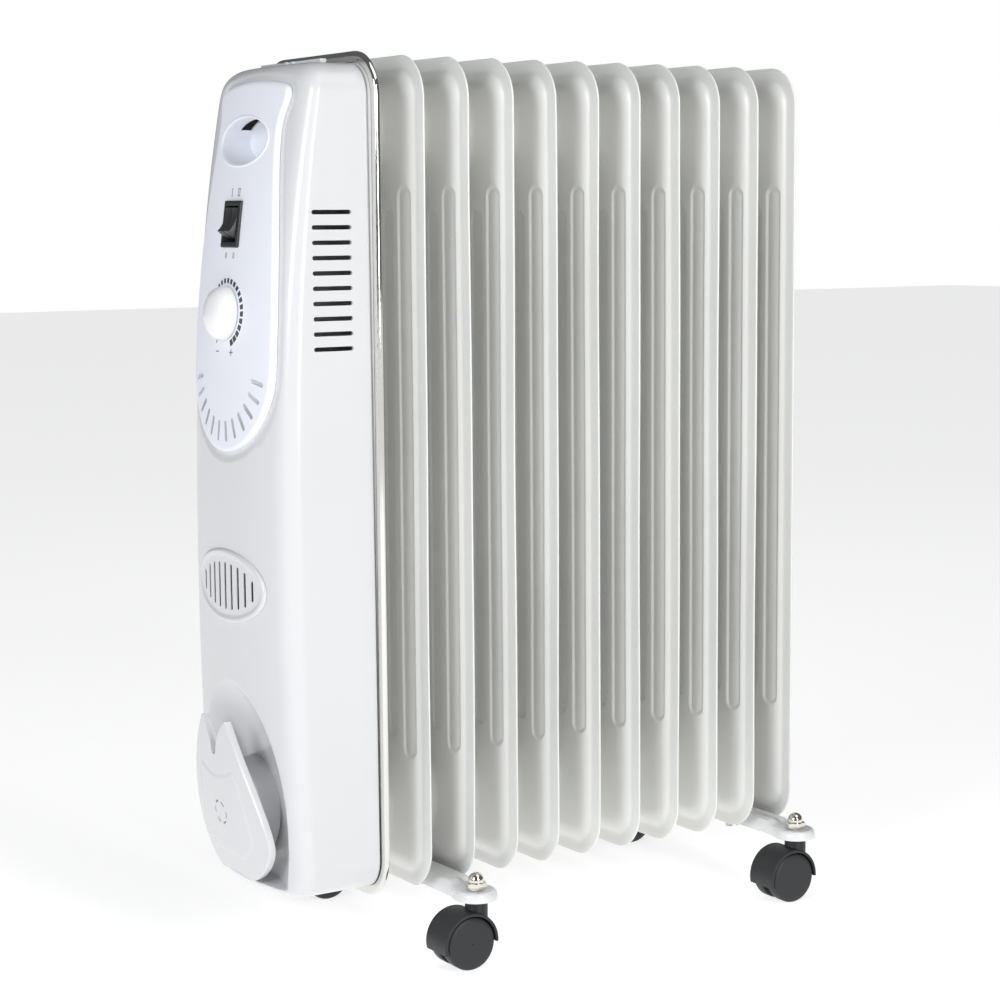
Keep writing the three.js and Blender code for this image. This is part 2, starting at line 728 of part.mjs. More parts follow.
function footBracket() {
  const wall = 2.2;
  const outer = bracketBlank(0, bracketTop - bracketLip, bracketTop);
  const inner = bracketBlank(wall, 0, bracketTop - bracketSheet);
  let body = outer.subtract(inner);
  for (const side of [-1, 1]) {
    body = body.subtract(rodZ(4.2, 0, 90, stemOffset, side * stemSide, 10));
    body = body.subtract(rodZ(wire + 0.5, 0, 90, 0, side * uBoltRadius, 10));
  }
  return body;
}

function uBolt() {
  const foot = 42;
  const path = new THREE.CurvePath();
  const low = (y) => new THREE.Vector3(0, y, foot);
  const spring = (y) => new THREE.Vector3(0, y, headerBottom);
  const top = new THREE.Vector3(0, 0, headerBottom + uBoltRadius);
  const bend = 0.5523 * uBoltRadius;
  path.add(new THREE.LineCurve3(low(-uBoltRadius), spring(-uBoltRadius)));
  path.add(new THREE.CubicBezierCurve3(spring(-uBoltRadius),
    new THREE.Vector3(0, -uBoltRadius, headerBottom + bend),
    new THREE.Vector3(0, -bend, headerBottom + uBoltRadius), top));
  path.add(new THREE.CubicBezierCurve3(top,
    new THREE.Vector3(0, bend, headerBottom + uBoltRadius),
    new THREE.Vector3(0, uBoltRadius, headerBottom + bend), spring(uBoltRadius)));
  path.add(new THREE.LineCurve3(spring(uBoltRadius), low(uBoltRadius)));
  const section = new THREE.Shape().absarc(0, 0, wire, 0, 2 * Math.PI);
  return solid(new THREE.ExtrudeGeometry(section,
    { steps: 24, extrudePath: path, curveSegments: 3 }));
}

function wingNut() {
  const top = bracketTop - bracketSheet - gap;
  const boss = rodZ(6, top - 6, top, 0, 0, 10);
  const wings = block(-1, 1, -12, 12, top - 10, top - 2);
  return boss.add(wings).subtract(rodZ(wire + gap, 0, 90, 0, 0, 8));
}

function domeNut() {
  const flats = 14;
  const corner = flats / 2 / Math.cos(Math.PI / 6);
  const base = bracketTop + gap;
  const hex = rodZ(corner, base, base + 5, 0, 0, 6);
  const dome = solid(turned([[0, 4], [6, 4], [6, 7.5], [4, 11], [0, 12.4]], 12)
    .translate(0, 0, base));
  return hex.add(dome).subtract(rodZ(4.1, 0, base + 8.5, 0, 0, 8));
}

function casterStem() {
  const plate = bracketTop - bracketSheet - gap;
  const profile = [[0, stemFoot], [4, stemFoot], [4, plate - 1.5], [7.5, plate - 1.5],
    [7.5, plate], [3.8, plate], [3.8, bracketTop + 8], [0, bracketTop + 8]];
  return solid(turned(profile, 10));
}

function casterHood() {
  const halfWidth = wheelInner + wheelWidth;
  const x = -wheelTrail;
  const shell = rodY(hoodRadius, -halfWidth, halfWidth, x, wheelRadius, 18)
    .subtract(rodY(hoodInner, -halfWidth - 1, halfWidth + 1, x, wheelRadius, 18));
  const web = rodY(hoodInner + 0.5, -wheelInner + 0.4, wheelInner - 0.4, x, wheelRadius, 18);
  const neckTop = bracketTop - bracketSheet - gap - 1.8;
  const neck = rodZ(9.5, wheelRadius, neckTop, 0, 0, 20)
    .subtract(rodY(hoodInner, -halfWidth - 1, halfWidth + 1, x, wheelRadius, 18));
  const axle = rodY(3, -halfWidth + 1.5, halfWidth - 1.5, x, wheelRadius, 12);
  const below = new THREE.Shape();
  below.moveTo(x - 40, -40);
  below.lineTo(x - 40, 9);
  below.lineTo(x + 4, 13);
  below.lineTo(x + 8, wheelRadius - 1);
  below.lineTo(x + 40, wheelRadius - 1);
  below.lineTo(x + 40, -40);
  const opening = prismY(below, -halfWidth - 1, halfWidth + 1);
  return shell.add(web).subtract(opening).add(neck).add(axle)
    .subtract(rodZ(4.3, stemFoot - gap, 90, 0, 0, 10));
}

function casterWheel() {
  const sides = 18;
  const r = wheelRadius / Math.cos(Math.PI / sides);
  const w = wheelWidth;
  const bore = 3.3;
  const profile = [[bore, 0], [r, 0], [r, w - 3], [r - 2.5, w], [bore, w - 1], [bore, 0]];
  const points = profile.map(([radius, height]) => new THREE.Vector2(radius, height));
  const geometry = new THREE.LatheGeometry(points, sides, Math.PI / sides);
  return solid(geometry);
}

function addFoot(place, x) {
  const foot = new THREE.Group();
  foot.position.x = x;
  group.add(foot);
  add(`foot_bracket_${place}`, footBracket(), boxWhite, foot);
  add(`u_bolt_${place}`, uBolt(), zinc, foot);
  for (const [name, side] of [['near', -1], ['far', 1]]) {
    const tag = `${place}_${name}`;
    add(`wing_nut_${tag}`, wingNut(), zinc, foot).position.y = side * uBoltRadius;
    const caster = new THREE.Group();
    caster.position.set(stemOffset, side * stemSide, 0);
    foot.add(caster);
    add(`dome_nut_${tag}`, domeNut(), chrome, caster);
    add(`caster_stem_${tag}`, casterStem(), zinc, caster);
    add(`caster_hood_${tag}`, casterHood(), casterPlastic, caster);
    for (const [wheelName, face] of [['outer', side], ['inner', -side]]) {
      const wheel = add(`caster_wheel_${wheelName}_${tag}`, casterWheel(), casterPlastic, caster);
      wheel.position.set(-wheelTrail, face * wheelInner, wheelRadius);
      wheel.rotation.x = face > 0 ? 0 : Math.PI;
    }
  }
}
addFoot('front', 1.5 * finPitch);
addFoot('rear', 9.5 * finPitch);

export default group;
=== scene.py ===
import math

import bmesh
import bpy
import numpy as np
from mathutils import Matrix, Vector


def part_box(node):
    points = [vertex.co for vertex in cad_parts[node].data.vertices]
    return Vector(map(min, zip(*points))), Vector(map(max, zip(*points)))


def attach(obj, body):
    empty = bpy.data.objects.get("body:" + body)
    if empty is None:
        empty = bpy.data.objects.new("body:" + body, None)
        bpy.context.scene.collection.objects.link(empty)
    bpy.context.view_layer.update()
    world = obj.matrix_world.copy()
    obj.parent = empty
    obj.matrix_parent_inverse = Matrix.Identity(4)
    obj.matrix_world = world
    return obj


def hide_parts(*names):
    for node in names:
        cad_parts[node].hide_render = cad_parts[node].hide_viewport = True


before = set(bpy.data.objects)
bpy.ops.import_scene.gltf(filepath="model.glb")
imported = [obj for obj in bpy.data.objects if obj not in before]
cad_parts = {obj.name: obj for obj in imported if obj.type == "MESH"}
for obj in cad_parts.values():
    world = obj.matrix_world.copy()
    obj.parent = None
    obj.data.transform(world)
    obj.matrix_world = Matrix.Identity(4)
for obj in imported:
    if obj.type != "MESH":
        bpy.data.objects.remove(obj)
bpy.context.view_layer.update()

scene = bpy.context.scene
MM = 0.001


# ---- the frame's dimensions, in millimetres from the first fin's plane -----------------
def raw_box(node):
    low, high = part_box(node)
    return np.array(low) / MM, np.array(high) / MM


def middle_x(node):
    low, high = raw_box(node)
    return (low[0] + high[0]) / 2


FIN_PITCH = middle_x("fin_03") - middle_x("fin_02")
FIRST_PLANE = middle_x("fin_02") - FIN_PITCH


def box_mm(node):
    low, high = raw_box(node)
    shift = np.array([FIRST_PLANE, 0, 0])
    return low - shift, high - shift


FIN_COUNT = 11
fin_low, fin_high = box_mm("fin_03")
FIN_HALF = fin_high[1]
FIN_BOTTOM = fin_low[2]
FIN_TOP = fin_high[2]
FIN_CORNER = 32
SHEET = 0.7
RIM_WIDTH = 10
SHOULDER = 15
BODY_HALF = box_mm("fin_11")[1][0] - (FIN_COUNT - 1) * FIN_PITCH
HEADER_RADIUS = 26
HEADER_TOP = FIN_TOP - 53
HEADER_BOTTOM = FIN_BOTTOM + 57

house_low, house_high = box_mm("control_housing")
BOX_BOTTOM = house_low[2]
BOX_TOP = house_high[2]
BOX_DEPTH = -house_low[0]
BOX_BACK = house_high[0]
BOX_HALF_BOTTOM = 79.5
BOX_HALF_TOP = 75
BOX_CORNER = 24
FULLEST_HEIGHT = 290
FRONT_BOW = 0.0019
FRONT_SHOULDER = 64
SIDE_DEPTH = 60
BOX_WALL = 2.5
PANEL_PROUD = 2.3
DISH_DEPTH = 1.3
DISH_MARGIN = 6.5

GRIP_HEIGHT = 610
SWITCH_HEIGHT = 550
KNOB_HEIGHT = 485.5
VENT_HEIGHT = 285
DIAL_CENTRE = 447
PANEL_RADIUS = 63
GRIP_HALF = (37, 17.5)
VENT_HALF = (54, 27.5)
VENT_SLOTS = 9
VENT_PITCH = 9.55
FAN_SLOTS = 12
FAN_SPREAD = 0.865 * math.pi
FAN_REACH = (41.5, 53.5)
SWITCH_HALF = (13, 17)
SWITCH_BODY = (11.5, 14.8)
SWITCH_WELL = (10.2, 13.4)
GLAND_X = -36

plate_low, plate_high = box_mm("cord_wrap_plate")
PLATE_FRONT = -99.6
PLATE_TOP = plate_high[2]
PLATE_BOTTOM = plate_low[2]
PLATE_HALF = 55
PLATE_THICKNESS = 6
PLATE_BOW_ACROSS = 200
PLATE_BOW_UP = 411
HUB_HEIGHT = 118


# ---- mesh helpers ----------------------------------------------------------------------
def to_row(points):
    """Heater millimetres to the frame's metres."""
    return (np.asarray(points, float) + [FIRST_PLANE, 0, 0]) * MM


def spread(marks, step, low, high):
    """Every mark between low and high, with the room between them filled in steps."""
    kept = sorted({round(float(m), 3) for m in marks if low < m < high} | {low, high})
    filled = [kept[0]]
    for start, end in zip(kept, kept[1:]):
        count = max(1, math.ceil((end - start) / step))
        filled += [start + (end - start) * k / count for k in range(1, count + 1)]
    return np.array(filled)


def ease(t):
    t = np.clip(t, 0, 1)
    return t * t * (3 - 2 * t)


def grid_faces(rows, columns, closed=False, start=0):
    faces = []
    last = columns if closed else columns - 1
    for i in range(rows - 1):
        for j in range(last):
            a = start + i * columns + j
            b = start + i * columns + (j + 1) % columns
            faces.append((a, b, b + columns, a + columns))
    return faces


def lofted(rings, caps=True):
    """Closed rings of equal length joined in order, with flat ends."""
    count = len(rings[0])
    points = np.concatenate([np.asarray(r, float) for r in rings])
    faces = grid_faces(len(rings), count, closed=True)
    if caps:
        faces.append(tuple(range(count))[::-1])
        last = len(points) - count
        faces.append(tuple(range(last, last + count)))
    return points, faces


def looped(rings):
    """Closed rings of equal length joined in order, and the last one to the first."""
    points, faces = lofted(rings, caps=False)
    count = len(rings[0])
    last = len(points) - count
    for j in range(count):
        k = (j + 1) % count
        faces.append((last + j, last + k, k, j))
    return points, faces


def joined(parts):
    points, faces, start = [], [], 0
    for part_points, part_faces in parts:
        points.append(np.asarray(part_points, float))
        faces += [tuple(start + i for i in face) for face in part_faces]
        start += len(part_points)
    return np.concatenate(points), faces


def turned(profile, axis="z", sides=48, centre=(0, 0, 0), hollow=False):
    """A lathe shape; the profile is (radius, distance along the axis) pairs. A hollow one's
    profile closes on itself away from the axis."""
    angles = np.linspace(0, 2 * np.pi, sides, endpoint=False)
    rings = []
    for radius, along in profile:
        radius = max(radius, 1e-3)
        a, b = radius * np.cos(angles), radius * np.sin(angles)
        c = np.full(sides, float(along))
        order = {"z": (a, b, c), "x": (c, a, b), "y": (a, c, b)}[axis]
        rings.append(np.stack(order, 1) + np.array(centre))
    return looped(rings) if hollow else lofted(rings)


def prism(outline, start, end, axis="x"):
    """An outline pushed along an axis; the outline is (Y, Z) for x, (X, Z) for y, (X, Y) for z."""
    outline = np.asarray(outline, float)
    rings = []
    for along in (start, end):
        c = np.full(len(outline), float(along))
        a, b = outline[:, 0], outline[:, 1]
        rings.append(np.stack({"x": (c, a, b), "y": (a, c, b), "z": (a, b, c)}[axis], 1))
    return lofted(rings)


def raw_object(name, part):
    mesh = bpy.data.meshes.new(name)
    mesh.from_pydata(to_row(part[0]).tolist(), [], part[1])
    mesh.update()
    work = bmesh.new()
    work.from_mesh(mesh)
    bmesh.ops.remove_doubles(work, verts=work.verts, dist=1e-7)
    bmesh.ops.dissolve_degenerate(work, edges=work.edges, dist=1e-7)
    bmesh.ops.recalc_face_normals(work, faces=work.faces)
    work.to_mesh(mesh)
    work.free()
    obj = bpy.data.objects.new(name, mesh)
    scene.collection.objects.link(obj)
    return obj


def apply_modifiers(obj):
    depsgraph = bpy.context.evaluated_depsgraph_get()
    mesh = bpy.data.meshes.new_from_object(obj.evaluated_get(depsgraph))
    obj.modifiers.clear()
    old = obj.data
    obj.data = mesh
    mesh.name = obj.name
    bpy.data.meshes.remove(old)


def merge(obj, other, operation):
    """Cuts another object out of this one, joins it on, or keeps only what they share."""
    modifier = obj.modifiers.new("combine", "BOOLEAN")
    modifier.operation = operation
    modifier.solver = "MANIFOLD"
    modifier.object = other
    bpy.context.view_layer.update()
    apply_modifiers(obj)
    mesh = other.data
    bpy.data.objects.remove(other)
    bpy.data.meshes.remove(mesh)


def combine(obj, part, operation):
    merge(obj, raw_object("tool", part), operation)


def bevelled(obj, width, segments=2, angle=35):
    modifier = obj.modifiers.new("bevel", "BEVEL")
    modifier.width = width * MM
    modifier.segments = segments
    modifier.limit_method = "ANGLE"
    modifier.angle_limit = math.radians(angle)
    modifier.harden_normals = False
    apply_modifiers(obj)


def finished(obj, material, body="radiator", replaces=(), smooth=38):
    """Shading, material, and the body and CAD nodes that the piece stands for."""
    mesh = obj.data
    mesh.shade_smooth()
    mesh.set_sharp_from_angle(angle=math.radians(smooth))
    mesh.materials.clear()
    mesh.materials.append(material)
    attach(obj, body)
    if replaces:
        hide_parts(*replaces)
    return obj


# ---- materials -------------------------------------------------------------------------
def surface(name, colour, roughness, metallic=0.0, grain=900, bump=0.03, tint=0.03,
            tint_scale=6, rough_spread=0.06, coat=0.0, depth=0.0002, stretch=(1, 1, 1)):
    """A moulded, painted or plated surface: drifting tint, uneven gloss and fine relief."""
    material = bpy.data.materials.new(name)
    material.use_nodes = True
    nodes, links = material.node_tree.nodes, material.node_tree.links
    shader = nodes["Principled BSDF"]
    shader.inputs["Metallic"].default_value = metallic
    shader.inputs["Coat Weight"].default_value = coat
    shader.inputs["Coat Roughness"].default_value = 0.12
    place = nodes.new("ShaderNodeTexCoord")
    mapping = nodes.new("ShaderNodeMapping")
    mapping.inputs["Scale"].default_value = stretch
    links.new(place.outputs["Object"], mapping.inputs["Vector"])

    def noise(scale, detail):
        node = nodes.new("ShaderNodeTexNoise")
        node.inputs["Scale"].default_value = scale
        node.inputs["Detail"].default_value = detail
        links.new(mapping.outputs["Vector"], node.inputs["Vector"])
        return node

    drift = noise(tint_scale, 3)
    ramp = nodes.new("ShaderNodeValToRGB")
    ramp.color_ramp.elements[0].position = 0.3
    ramp.color_ramp.elements[1].position = 0.7
    ramp.color_ramp.elements[0].color = [c * (1 - tint) for c in colour] + [1]
    ramp.color_ramp.elements[1].color = [min(1, c * (1 + tint)) for c in colour] + [1]
    links.new(drift.outputs["Fac"], ramp.inputs["Fac"])
    links.new(ramp.outputs["Color"], shader.inputs["Base Color"])

    gloss = noise(tint_scale * 5, 4)
    spread_gloss = nodes.new("ShaderNodeMapRange")
    spread_gloss.inputs["To Min"].default_value = max(0.02, roughness - rough_spread)
    spread_gloss.inputs["To Max"].default_value = roughness + rough_spread
    links.new(gloss.outputs["Fac"], spread_gloss.inputs["Value"])
    links.new(spread_gloss.outputs["Result"], shader.inputs["Roughness"])

    relief = noise(grain, 2)
    lift = nodes.new("ShaderNodeBump")
    lift.inputs["Strength"].default_value = bump
    lift.inputs["Distance"].default_value = depth
    links.new(relief.outputs["Fac"], lift.inputs["Height"])
    links.new(lift.outputs["Normal"], shader.inputs["Normal"])
    return material


fin_paint = surface("fin_paint", (0.82, 0.825, 0.80), 0.32, grain=700, bump=0.03, coat=0.3)
box_white = surface("housing_white", (0.72, 0.725, 0.737), 0.24, grain=500, bump=0.02,
                    tint=0.012, coat=0.25)
panel_white = surface("fascia_white", (0.88, 0.895, 0.95), 0.42, grain=2600, bump=0.12,
                      tint=0.012)
knob_white = surface("knob_white", (0.92, 0.925, 0.94), 0.3, grain=1200, bump=0.03,
                     tint=0.012, coat=0.15)
black_plastic = surface("black_plastic", (0.03, 0.031, 0.033), 0.42, grain=2400, bump=0.12,
                        tint=0.08)
caster_plastic = surface("caster_plastic", (0.018, 0.019, 0.021), 0.5, grain=2200, bump=0.15,
                         tint=0.08)
chrome = surface("chrome_trim", (0.78, 0.775, 0.745), 0.07, metallic=1.0, grain=300, bump=0.02,
                 tint=0.02, rough_spread=0.03)
nickel = surface("nickel_plate", (0.74, 0.71, 0.64), 0.13, metallic=1.0, grain=900, bump=0.04,
                 tint=0.05, rough_spread=0.06)
bracket_paint = surface("bracket_paint", (0.82, 0.825, 0.83), 0.26, grain=650, bump=0.05,
                        tint=0.015, coat=0.3)
zinc = surface("zinc_steel", (0.56, 0.57, 0.6), 0.34, metallic=1.0, grain=1500, bump=0.1,
               tint=0.12, tint_scale=40, rough_spread=0.12)
copper = surface("copper_tube", (0.55, 0.3, 0.18), 0.35, metallic=1.0, grain=1200, bump=0.08,
                 tint=0.15, tint_scale=30, rough_spread=0.1)
cream = surface("ceramic_cream", (0.72, 0.66, 0.53), 0.62, grain=1800, bump=0.25, tint=0.05)
ink = surface("printed_ink", (0.05, 0.05, 0.055), 0.5, grain=3000, bump=0.05, tint=0.1)
grey_ink = surface("grey_ink", (0.2, 0.2, 0.22), 0.5, grain=3000, bump=0.05, tint=0.1)


# ---- fins ------------------------------------------------------------------------------
SLOT_RADIUS = 6.75
SLOT_DEPTH = 1.3
SLOT_LINES = ((64.2, 151.5, 576), (42.4, 164.7, 561), (20.6, 178, 546))
COLLAR_FOOT = 43
COLLAR_NECK = 27
COLLAR_RISE = 7.3


def fin_height(inset, y, z, collars):
    """How far a fin's skin stands from its middle plane."""
    edge = SHEET * np.sqrt(1 - (1 - np.clip(inset / SHEET, 0, 1)) ** 2)
    foot = inset - RIM_WIDTH
    share = np.clip((foot + np.hypot(foot, 0.5)) / 2 / SHOULDER, 0, 1)
    rise = (BODY_HALF - SHEET) * (1 - (1 - share) ** 2.4)
    for centre, low, high in SLOT_LINES:
        along = np.clip(z, low + SLOT_RADIUS, high - SLOT_RADIUS)
        away = np.hypot(np.abs(y) - centre, z - along)
        rise -= SLOT_DEPTH * ease((SLOT_RADIUS + 0.8 - away) / 1.8)
    if collars:
        for header in (HEADER_BOTTOM, HEADER_TOP):
            away = np.hypot(y, z - header)
            slope = np.clip((COLLAR_FOOT - away) / (COLLAR_FOOT - COLLAR_NECK), 0, 1)
            rise += COLLAR_RISE * (0.6 * slope + 0.4 * ease(slope))
    return edge + rise * ease(inset / 8)


def rounded_corner(a, b, corner):
    """Distances from two sharp edges to the same point of a round-cornered sheet."""
    inset = np.minimum(a, b)
    radius = corner - inset
    travel = np.abs(b - a)
    inside = (a < corner) & (b < corner)
    angle = math.pi / 4 * (1 - travel / np.maximum(radius, 1e-6))
    near = corner - radius * np.cos(angle)
    far = corner - radius * np.sin(angle)
    first = np.where(a <= b, near, far)
    second = np.where(a <= b, far, near)
    return np.where(inside, first, a), np.where(inside, second, b), inset


def fin_samples():
    edge = [0, 0.12, 0.35, 0.7, 4, 8, 10.3, 10.9, 11.5, 12.3, 13.5, 15, 17, 19.5, 22.5, 26, 32]
    wall = [-1.1, -0.3, 0.5, 1.3]
    ys = [side * (FIN_HALF - e) for e in edge for side in (-1, 1)]
    zs = [FIN_BOTTOM + e for e in edge] + [FIN_TOP - e for e in edge]
    for centre, low, high in SLOT_LINES:
        for side in (-1, 1):
            for flank in (-1, 1):
                ys += [side * centre + flank * (SLOT_RADIUS - w) for w in wall]
        zs += list(np.arange(low - 1.2, low + 9, 1.3))
        zs += list(np.arange(high - 9, high + 1.3, 1.3))
    for header in (HEADER_BOTTOM, HEADER_TOP):
        zs += list(np.arange(header - 45, header + 45.1, 2.6))
    return spread(ys, 3.2, -FIN_HALF, FIN_HALF), spread(zs, 12, FIN_BOTTOM, FIN_TOP)


def fin_warp(index, y, z):
    """A pressed sheet is never quite flat: the flange wanders a little along its edge."""
    phase = 2.4 * index
    edge = (np.abs(y) / FIN_HALF) ** 3
    wave = np.sin(z / 97 + phase) + 0.5 * np.sin(z / 41 + 2 * phase)
    return 0.35 * edge * wave


def fin_part(index, front_collars, back_collars):
    ys, zs = fin_samples()
    y, z = np.meshgrid(ys, zs)
    side = np.sign(y)
    upper = z > (FIN_BOTTOM + FIN_TOP) / 2
    a = FIN_HALF - np.abs(y)
    b = np.where(upper, FIN_TOP - z, z - FIN_BOTTOM)
    a, b, inset = rounded_corner(a, b, FIN_CORNER)
    inset = np.minimum(inset, 40)
    y = side * (FIN_HALF - a)
    z = np.where(upper, FIN_TOP - b, FIN_BOTTOM + b)
    plane = index * FIN_PITCH + (fin_warp(index, y, z) if 0 < index < FIN_COUNT - 1 else 0)
    parts = []
    for sign, collars in ((-1, front_collars), (1, back_collars)):
        x = plane + sign * fin_height(inset, y, z, collars)
        points = np.stack([x, y, z], -1).reshape(-1, 3)
        faces = grid_faces(len(zs), len(ys))
        parts.append((points, faces if sign > 0 else [f[::-1] for f in faces]))
    return joined(parts)


def fin_necks(index, side):
    """The two welded necks on one side of a fin."""
    start = BODY_HALF + COLLAR_RISE - 3
    end = FIN_PITCH / 2 - 0.15
    radius = HEADER_RADIUS
    profile = [(radius, start), (radius, end - 1.2), (radius + 0.8, end - 0.6),
               (radius + 0.8, end - 0.1), (radius + 0.3, end)]
    necks = []
    for header in (HEADER_BOTTOM, HEADER_TOP):
        ring = [(r, index * FIN_PITCH + side * along) for r, along in profile]
        necks.append(turned(ring, "x", 56, (0, 0, header)))
    return joined(necks)


def make_fins():
    for index in range(FIN_COUNT):
        name = f"fin_{index + 1:02d}"
        first, last = index == 0, index == FIN_COUNT - 1
        obj = raw_object(f"skin_{name}", fin_part(index, not first, not last))
        if not first:
            combine(obj, fin_necks(index, -1), "UNION")
        if not last:
            combine(obj, fin_necks(index, 1), "UNION")
        finished(obj, fin_paint, replaces=[name])


def make_filler_plug():
    plane = (FIN_COUNT - 1) * FIN_PITCH + BODY_HALF
    profile = [(0, 0.3), (8, 0.3), (8, 0.6), (7.6, 0.9), (7.6, 2.2), (7, 3), (3, 3), (2.8, 2.2),
               (0, 2.2)]
    part = turned([(r, plane + along) for r, along in profile], "x", 40, (0, 0, HEADER_TOP))
    finished(raw_object("filler_plug", part), zinc,
             replaces=["oil_filler_plug"])


# ---- trim ring -------------------------------------------------------------------------
def rounded_outline(grow, corner, per_corner=14, per_side=10, per_height=30):
    """The fin's outline grown outwards, as (Y, Z) points in order."""
    half, low, high = FIN_HALF + grow, FIN_BOTTOM - grow, FIN_TOP + grow
    radius = corner + grow
    corners = [(half - radius, high - radius, 0), (-half + radius, high - radius, 1),
               (-half + radius, low + radius, 2), (half - radius, low + radius, 3)]
    points = []
    for number, (cy, cz, turn) in enumerate(corners):
        for angle in np.linspace(0, math.pi / 2, per_corner):
            theta = angle + turn * math.pi / 2
            points.append((cy + radius * math.cos(theta), cz + radius * math.sin(theta)))
        ny, nz, nturn = corners[(number + 1) % 4]
        start = points[-1]
        theta = nturn * math.pi / 2
        end = (ny + radius * math.cos(theta), nz + radius * math.sin(theta))
        count = per_side if number % 2 == 0 else per_height
        for k in range(1, count):
            share = k / count
            points.append((start[0] + (end[0] - start[0]) * share,
                           start[1] + (end[1] - start[1]) * share))
    return np.array(points)


def make_trim_ring():
    """A rolled channel round the first fin's edge, swept along the fin's outline."""
    section = [(1.5, 1.4), (1.65, 0.6), (1.65, -0.6), (1.45, -1.5), (1.0, -2.1), (0.2, -2.4),
               (-1.2, -2.35), (-3.2, -2.05), (-5.0, -1.85), (-6.1, -1.75), (-6.5, -1.4),
               (-6.1, -1.1), (-3.0, -1.2), (0.3, -1.2), (0.55, -0.9), (0.55, 1.4), (1.0, 1.7)]
    rings = []
    for grow, x in section:
        outline = rounded_outline(grow, FIN_CORNER)
        rings.append(np.column_stack([np.full(len(outline), x), outline]))
    finished(raw_object("trim_ring", looped(rings)), chrome,
             replaces=["chrome_trim_ring"], smooth=60)


# ---- control box -----------------------------------------------------------------------
def front_depth(z):
    above = np.maximum(0, z - FULLEST_HEIGHT) / 320
    below = np.maximum(0, FULLEST_HEIGHT - z) / 232
    return BOX_DEPTH - 23.5 * above ** 2.6 - 9 * below ** 2


def front_x(y, z):
    """The bowed front before its dish and scoop."""
    share = front_depth(z) / BOX_DEPTH
    return BOX_BACK + (-BOX_DEPTH + FRONT_BOW * y * y - BOX_BACK) * share


def box_half(z):
    share = (z - BOX_BOTTOM) / (BOX_TOP - BOX_BOTTOM)
    return BOX_HALF_BOTTOM + (BOX_HALF_TOP - BOX_HALF_BOTTOM) * share


def round_off(distance, radius):
    rest = np.maximum(0, radius - distance)
    return radius - np.sqrt(np.maximum(0, radius * radius - rest * rest))


def bezier(points, count):
    """Points along a curve of two, three or four control points, without its end."""
    t = np.linspace(0, 1, count, endpoint=False)[:, None]
    points = [np.array(p, float) for p in points]
    while len(points) > 1:
        points = [a + (b - a) * t for a, b in zip(points, points[1:])]
    return points[0]


def panel_outline():
    waist, waist_height, shoulder = 47.5, 618, 53
    half = [
        bezier([(PANEL_RADIUS, DIAL_CENTRE), (PANEL_RADIUS, DIAL_CENTRE + 98), (waist, 590),
                (waist, waist_height)], 40),
        bezier([(waist, waist_height), (waist, 630), (shoulder, 634), (shoulder, 641)], 8),
        bezier([(shoulder, 641), (shoulder, 648), (46, 649), (38, 650.5)], 8),
        bezier([(38, 650.5), (19, 653.2), (0, 653.2)], 12),
    ]
    right = np.concatenate(half)
    mirror = np.concatenate([[(0, 653.2)], right[:0:-1] * [-1, 1]])
    angles = np.linspace(math.pi, 2 * math.pi, 61)[:-1]
    arc = np.column_stack([PANEL_RADIUS * np.cos(angles),
                           DIAL_CENTRE + PANEL_RADIUS * np.sin(angles)])
    return np.concatenate([right, mirror, arc])


PANEL = panel_outline()


def outside_distance(y, z, outline):
    """Distance to an outline, negative inside it."""
    start = outline
    end = np.roll(outline, -1, axis=0)
    shape = y.shape
    p = np.stack([y.ravel(), z.ravel()], 1)[:, None, :]
    edge = (end - start)[None]
    length = np.maximum((edge ** 2).sum(-1), 1e-9)
    t = np.clip(((p - start[None]) * edge).sum(-1) / length, 0, 1)
    nearest = start[None] + edge * t[..., None]
    distance = np.sqrt(((p - nearest) ** 2).sum(-1)).min(1)
    crosses = (start[None, :, 1] > p[..., 1]) != (end[None, :, 1] > p[..., 1])
    height = np.where(edge[..., 1] == 0, 1e-9, edge[..., 1])
    cut = start[None, :, 0] + (p[..., 1] - start[None, :, 1]) * edge[..., 0] / height
    inside = (crosses & (p[..., 0] < cut)).sum(1) % 2 == 1
    return np.where(inside, -distance, distance).reshape(shape)


SCOOP_BACK = -61.5
SCOOP_HEIGHT = 110
SCOOP_HALF = (66, 104)
SCOOP_DEPTH = 24
SCOOP_FLOOR = 63.5
SCOOP_LIP = 0.09


def scoop_depth(y, z):
    reach = (y / SCOOP_HALF[0]) ** 2 + ((z - SCOOP_HEIGHT) / SCOOP_HALF[1]) ** 2
    inside = np.clip(1 - reach, 0, 1)
    bowl = SCOOP_DEPTH * (inside ** 2 / (inside + SCOOP_LIP)) ** 0.75
    return bowl * ease((z - SCOOP_FLOOR + 1) / 4)


def box_plan():
    """Half of the box's section from above, from its back edge round to the middle."""
    shoulder_x = -BOX_DEPTH + FRONT_BOW * FRONT_SHOULDER ** 2
    slope = 2 * FRONT_BOW * FRONT_SHOULDER
    corner_x = shoulder_x + slope * (BOX_HALF_BOTTOM - FRONT_SHOULDER)
    side = [(x, BOX_HALF_BOTTOM) for x in np.linspace(BOX_BACK, -SIDE_DEPTH, 9)[:-1]]
    fillet = bezier([(-SIDE_DEPTH, BOX_HALF_BOTTOM), (corner_x, BOX_HALF_BOTTOM),
                     (shoulder_x, FRONT_SHOULDER)], 16)
    ys = np.arange(FRONT_SHOULDER, 0, -1.28)
    front = np.column_stack([-BOX_DEPTH + FRONT_BOW * ys ** 2, ys])
    half = np.concatenate([side, fillet, front])
    middle = [(-BOX_DEPTH, 0)]
    return np.concatenate([half, middle, half[::-1] * [1, -1]])


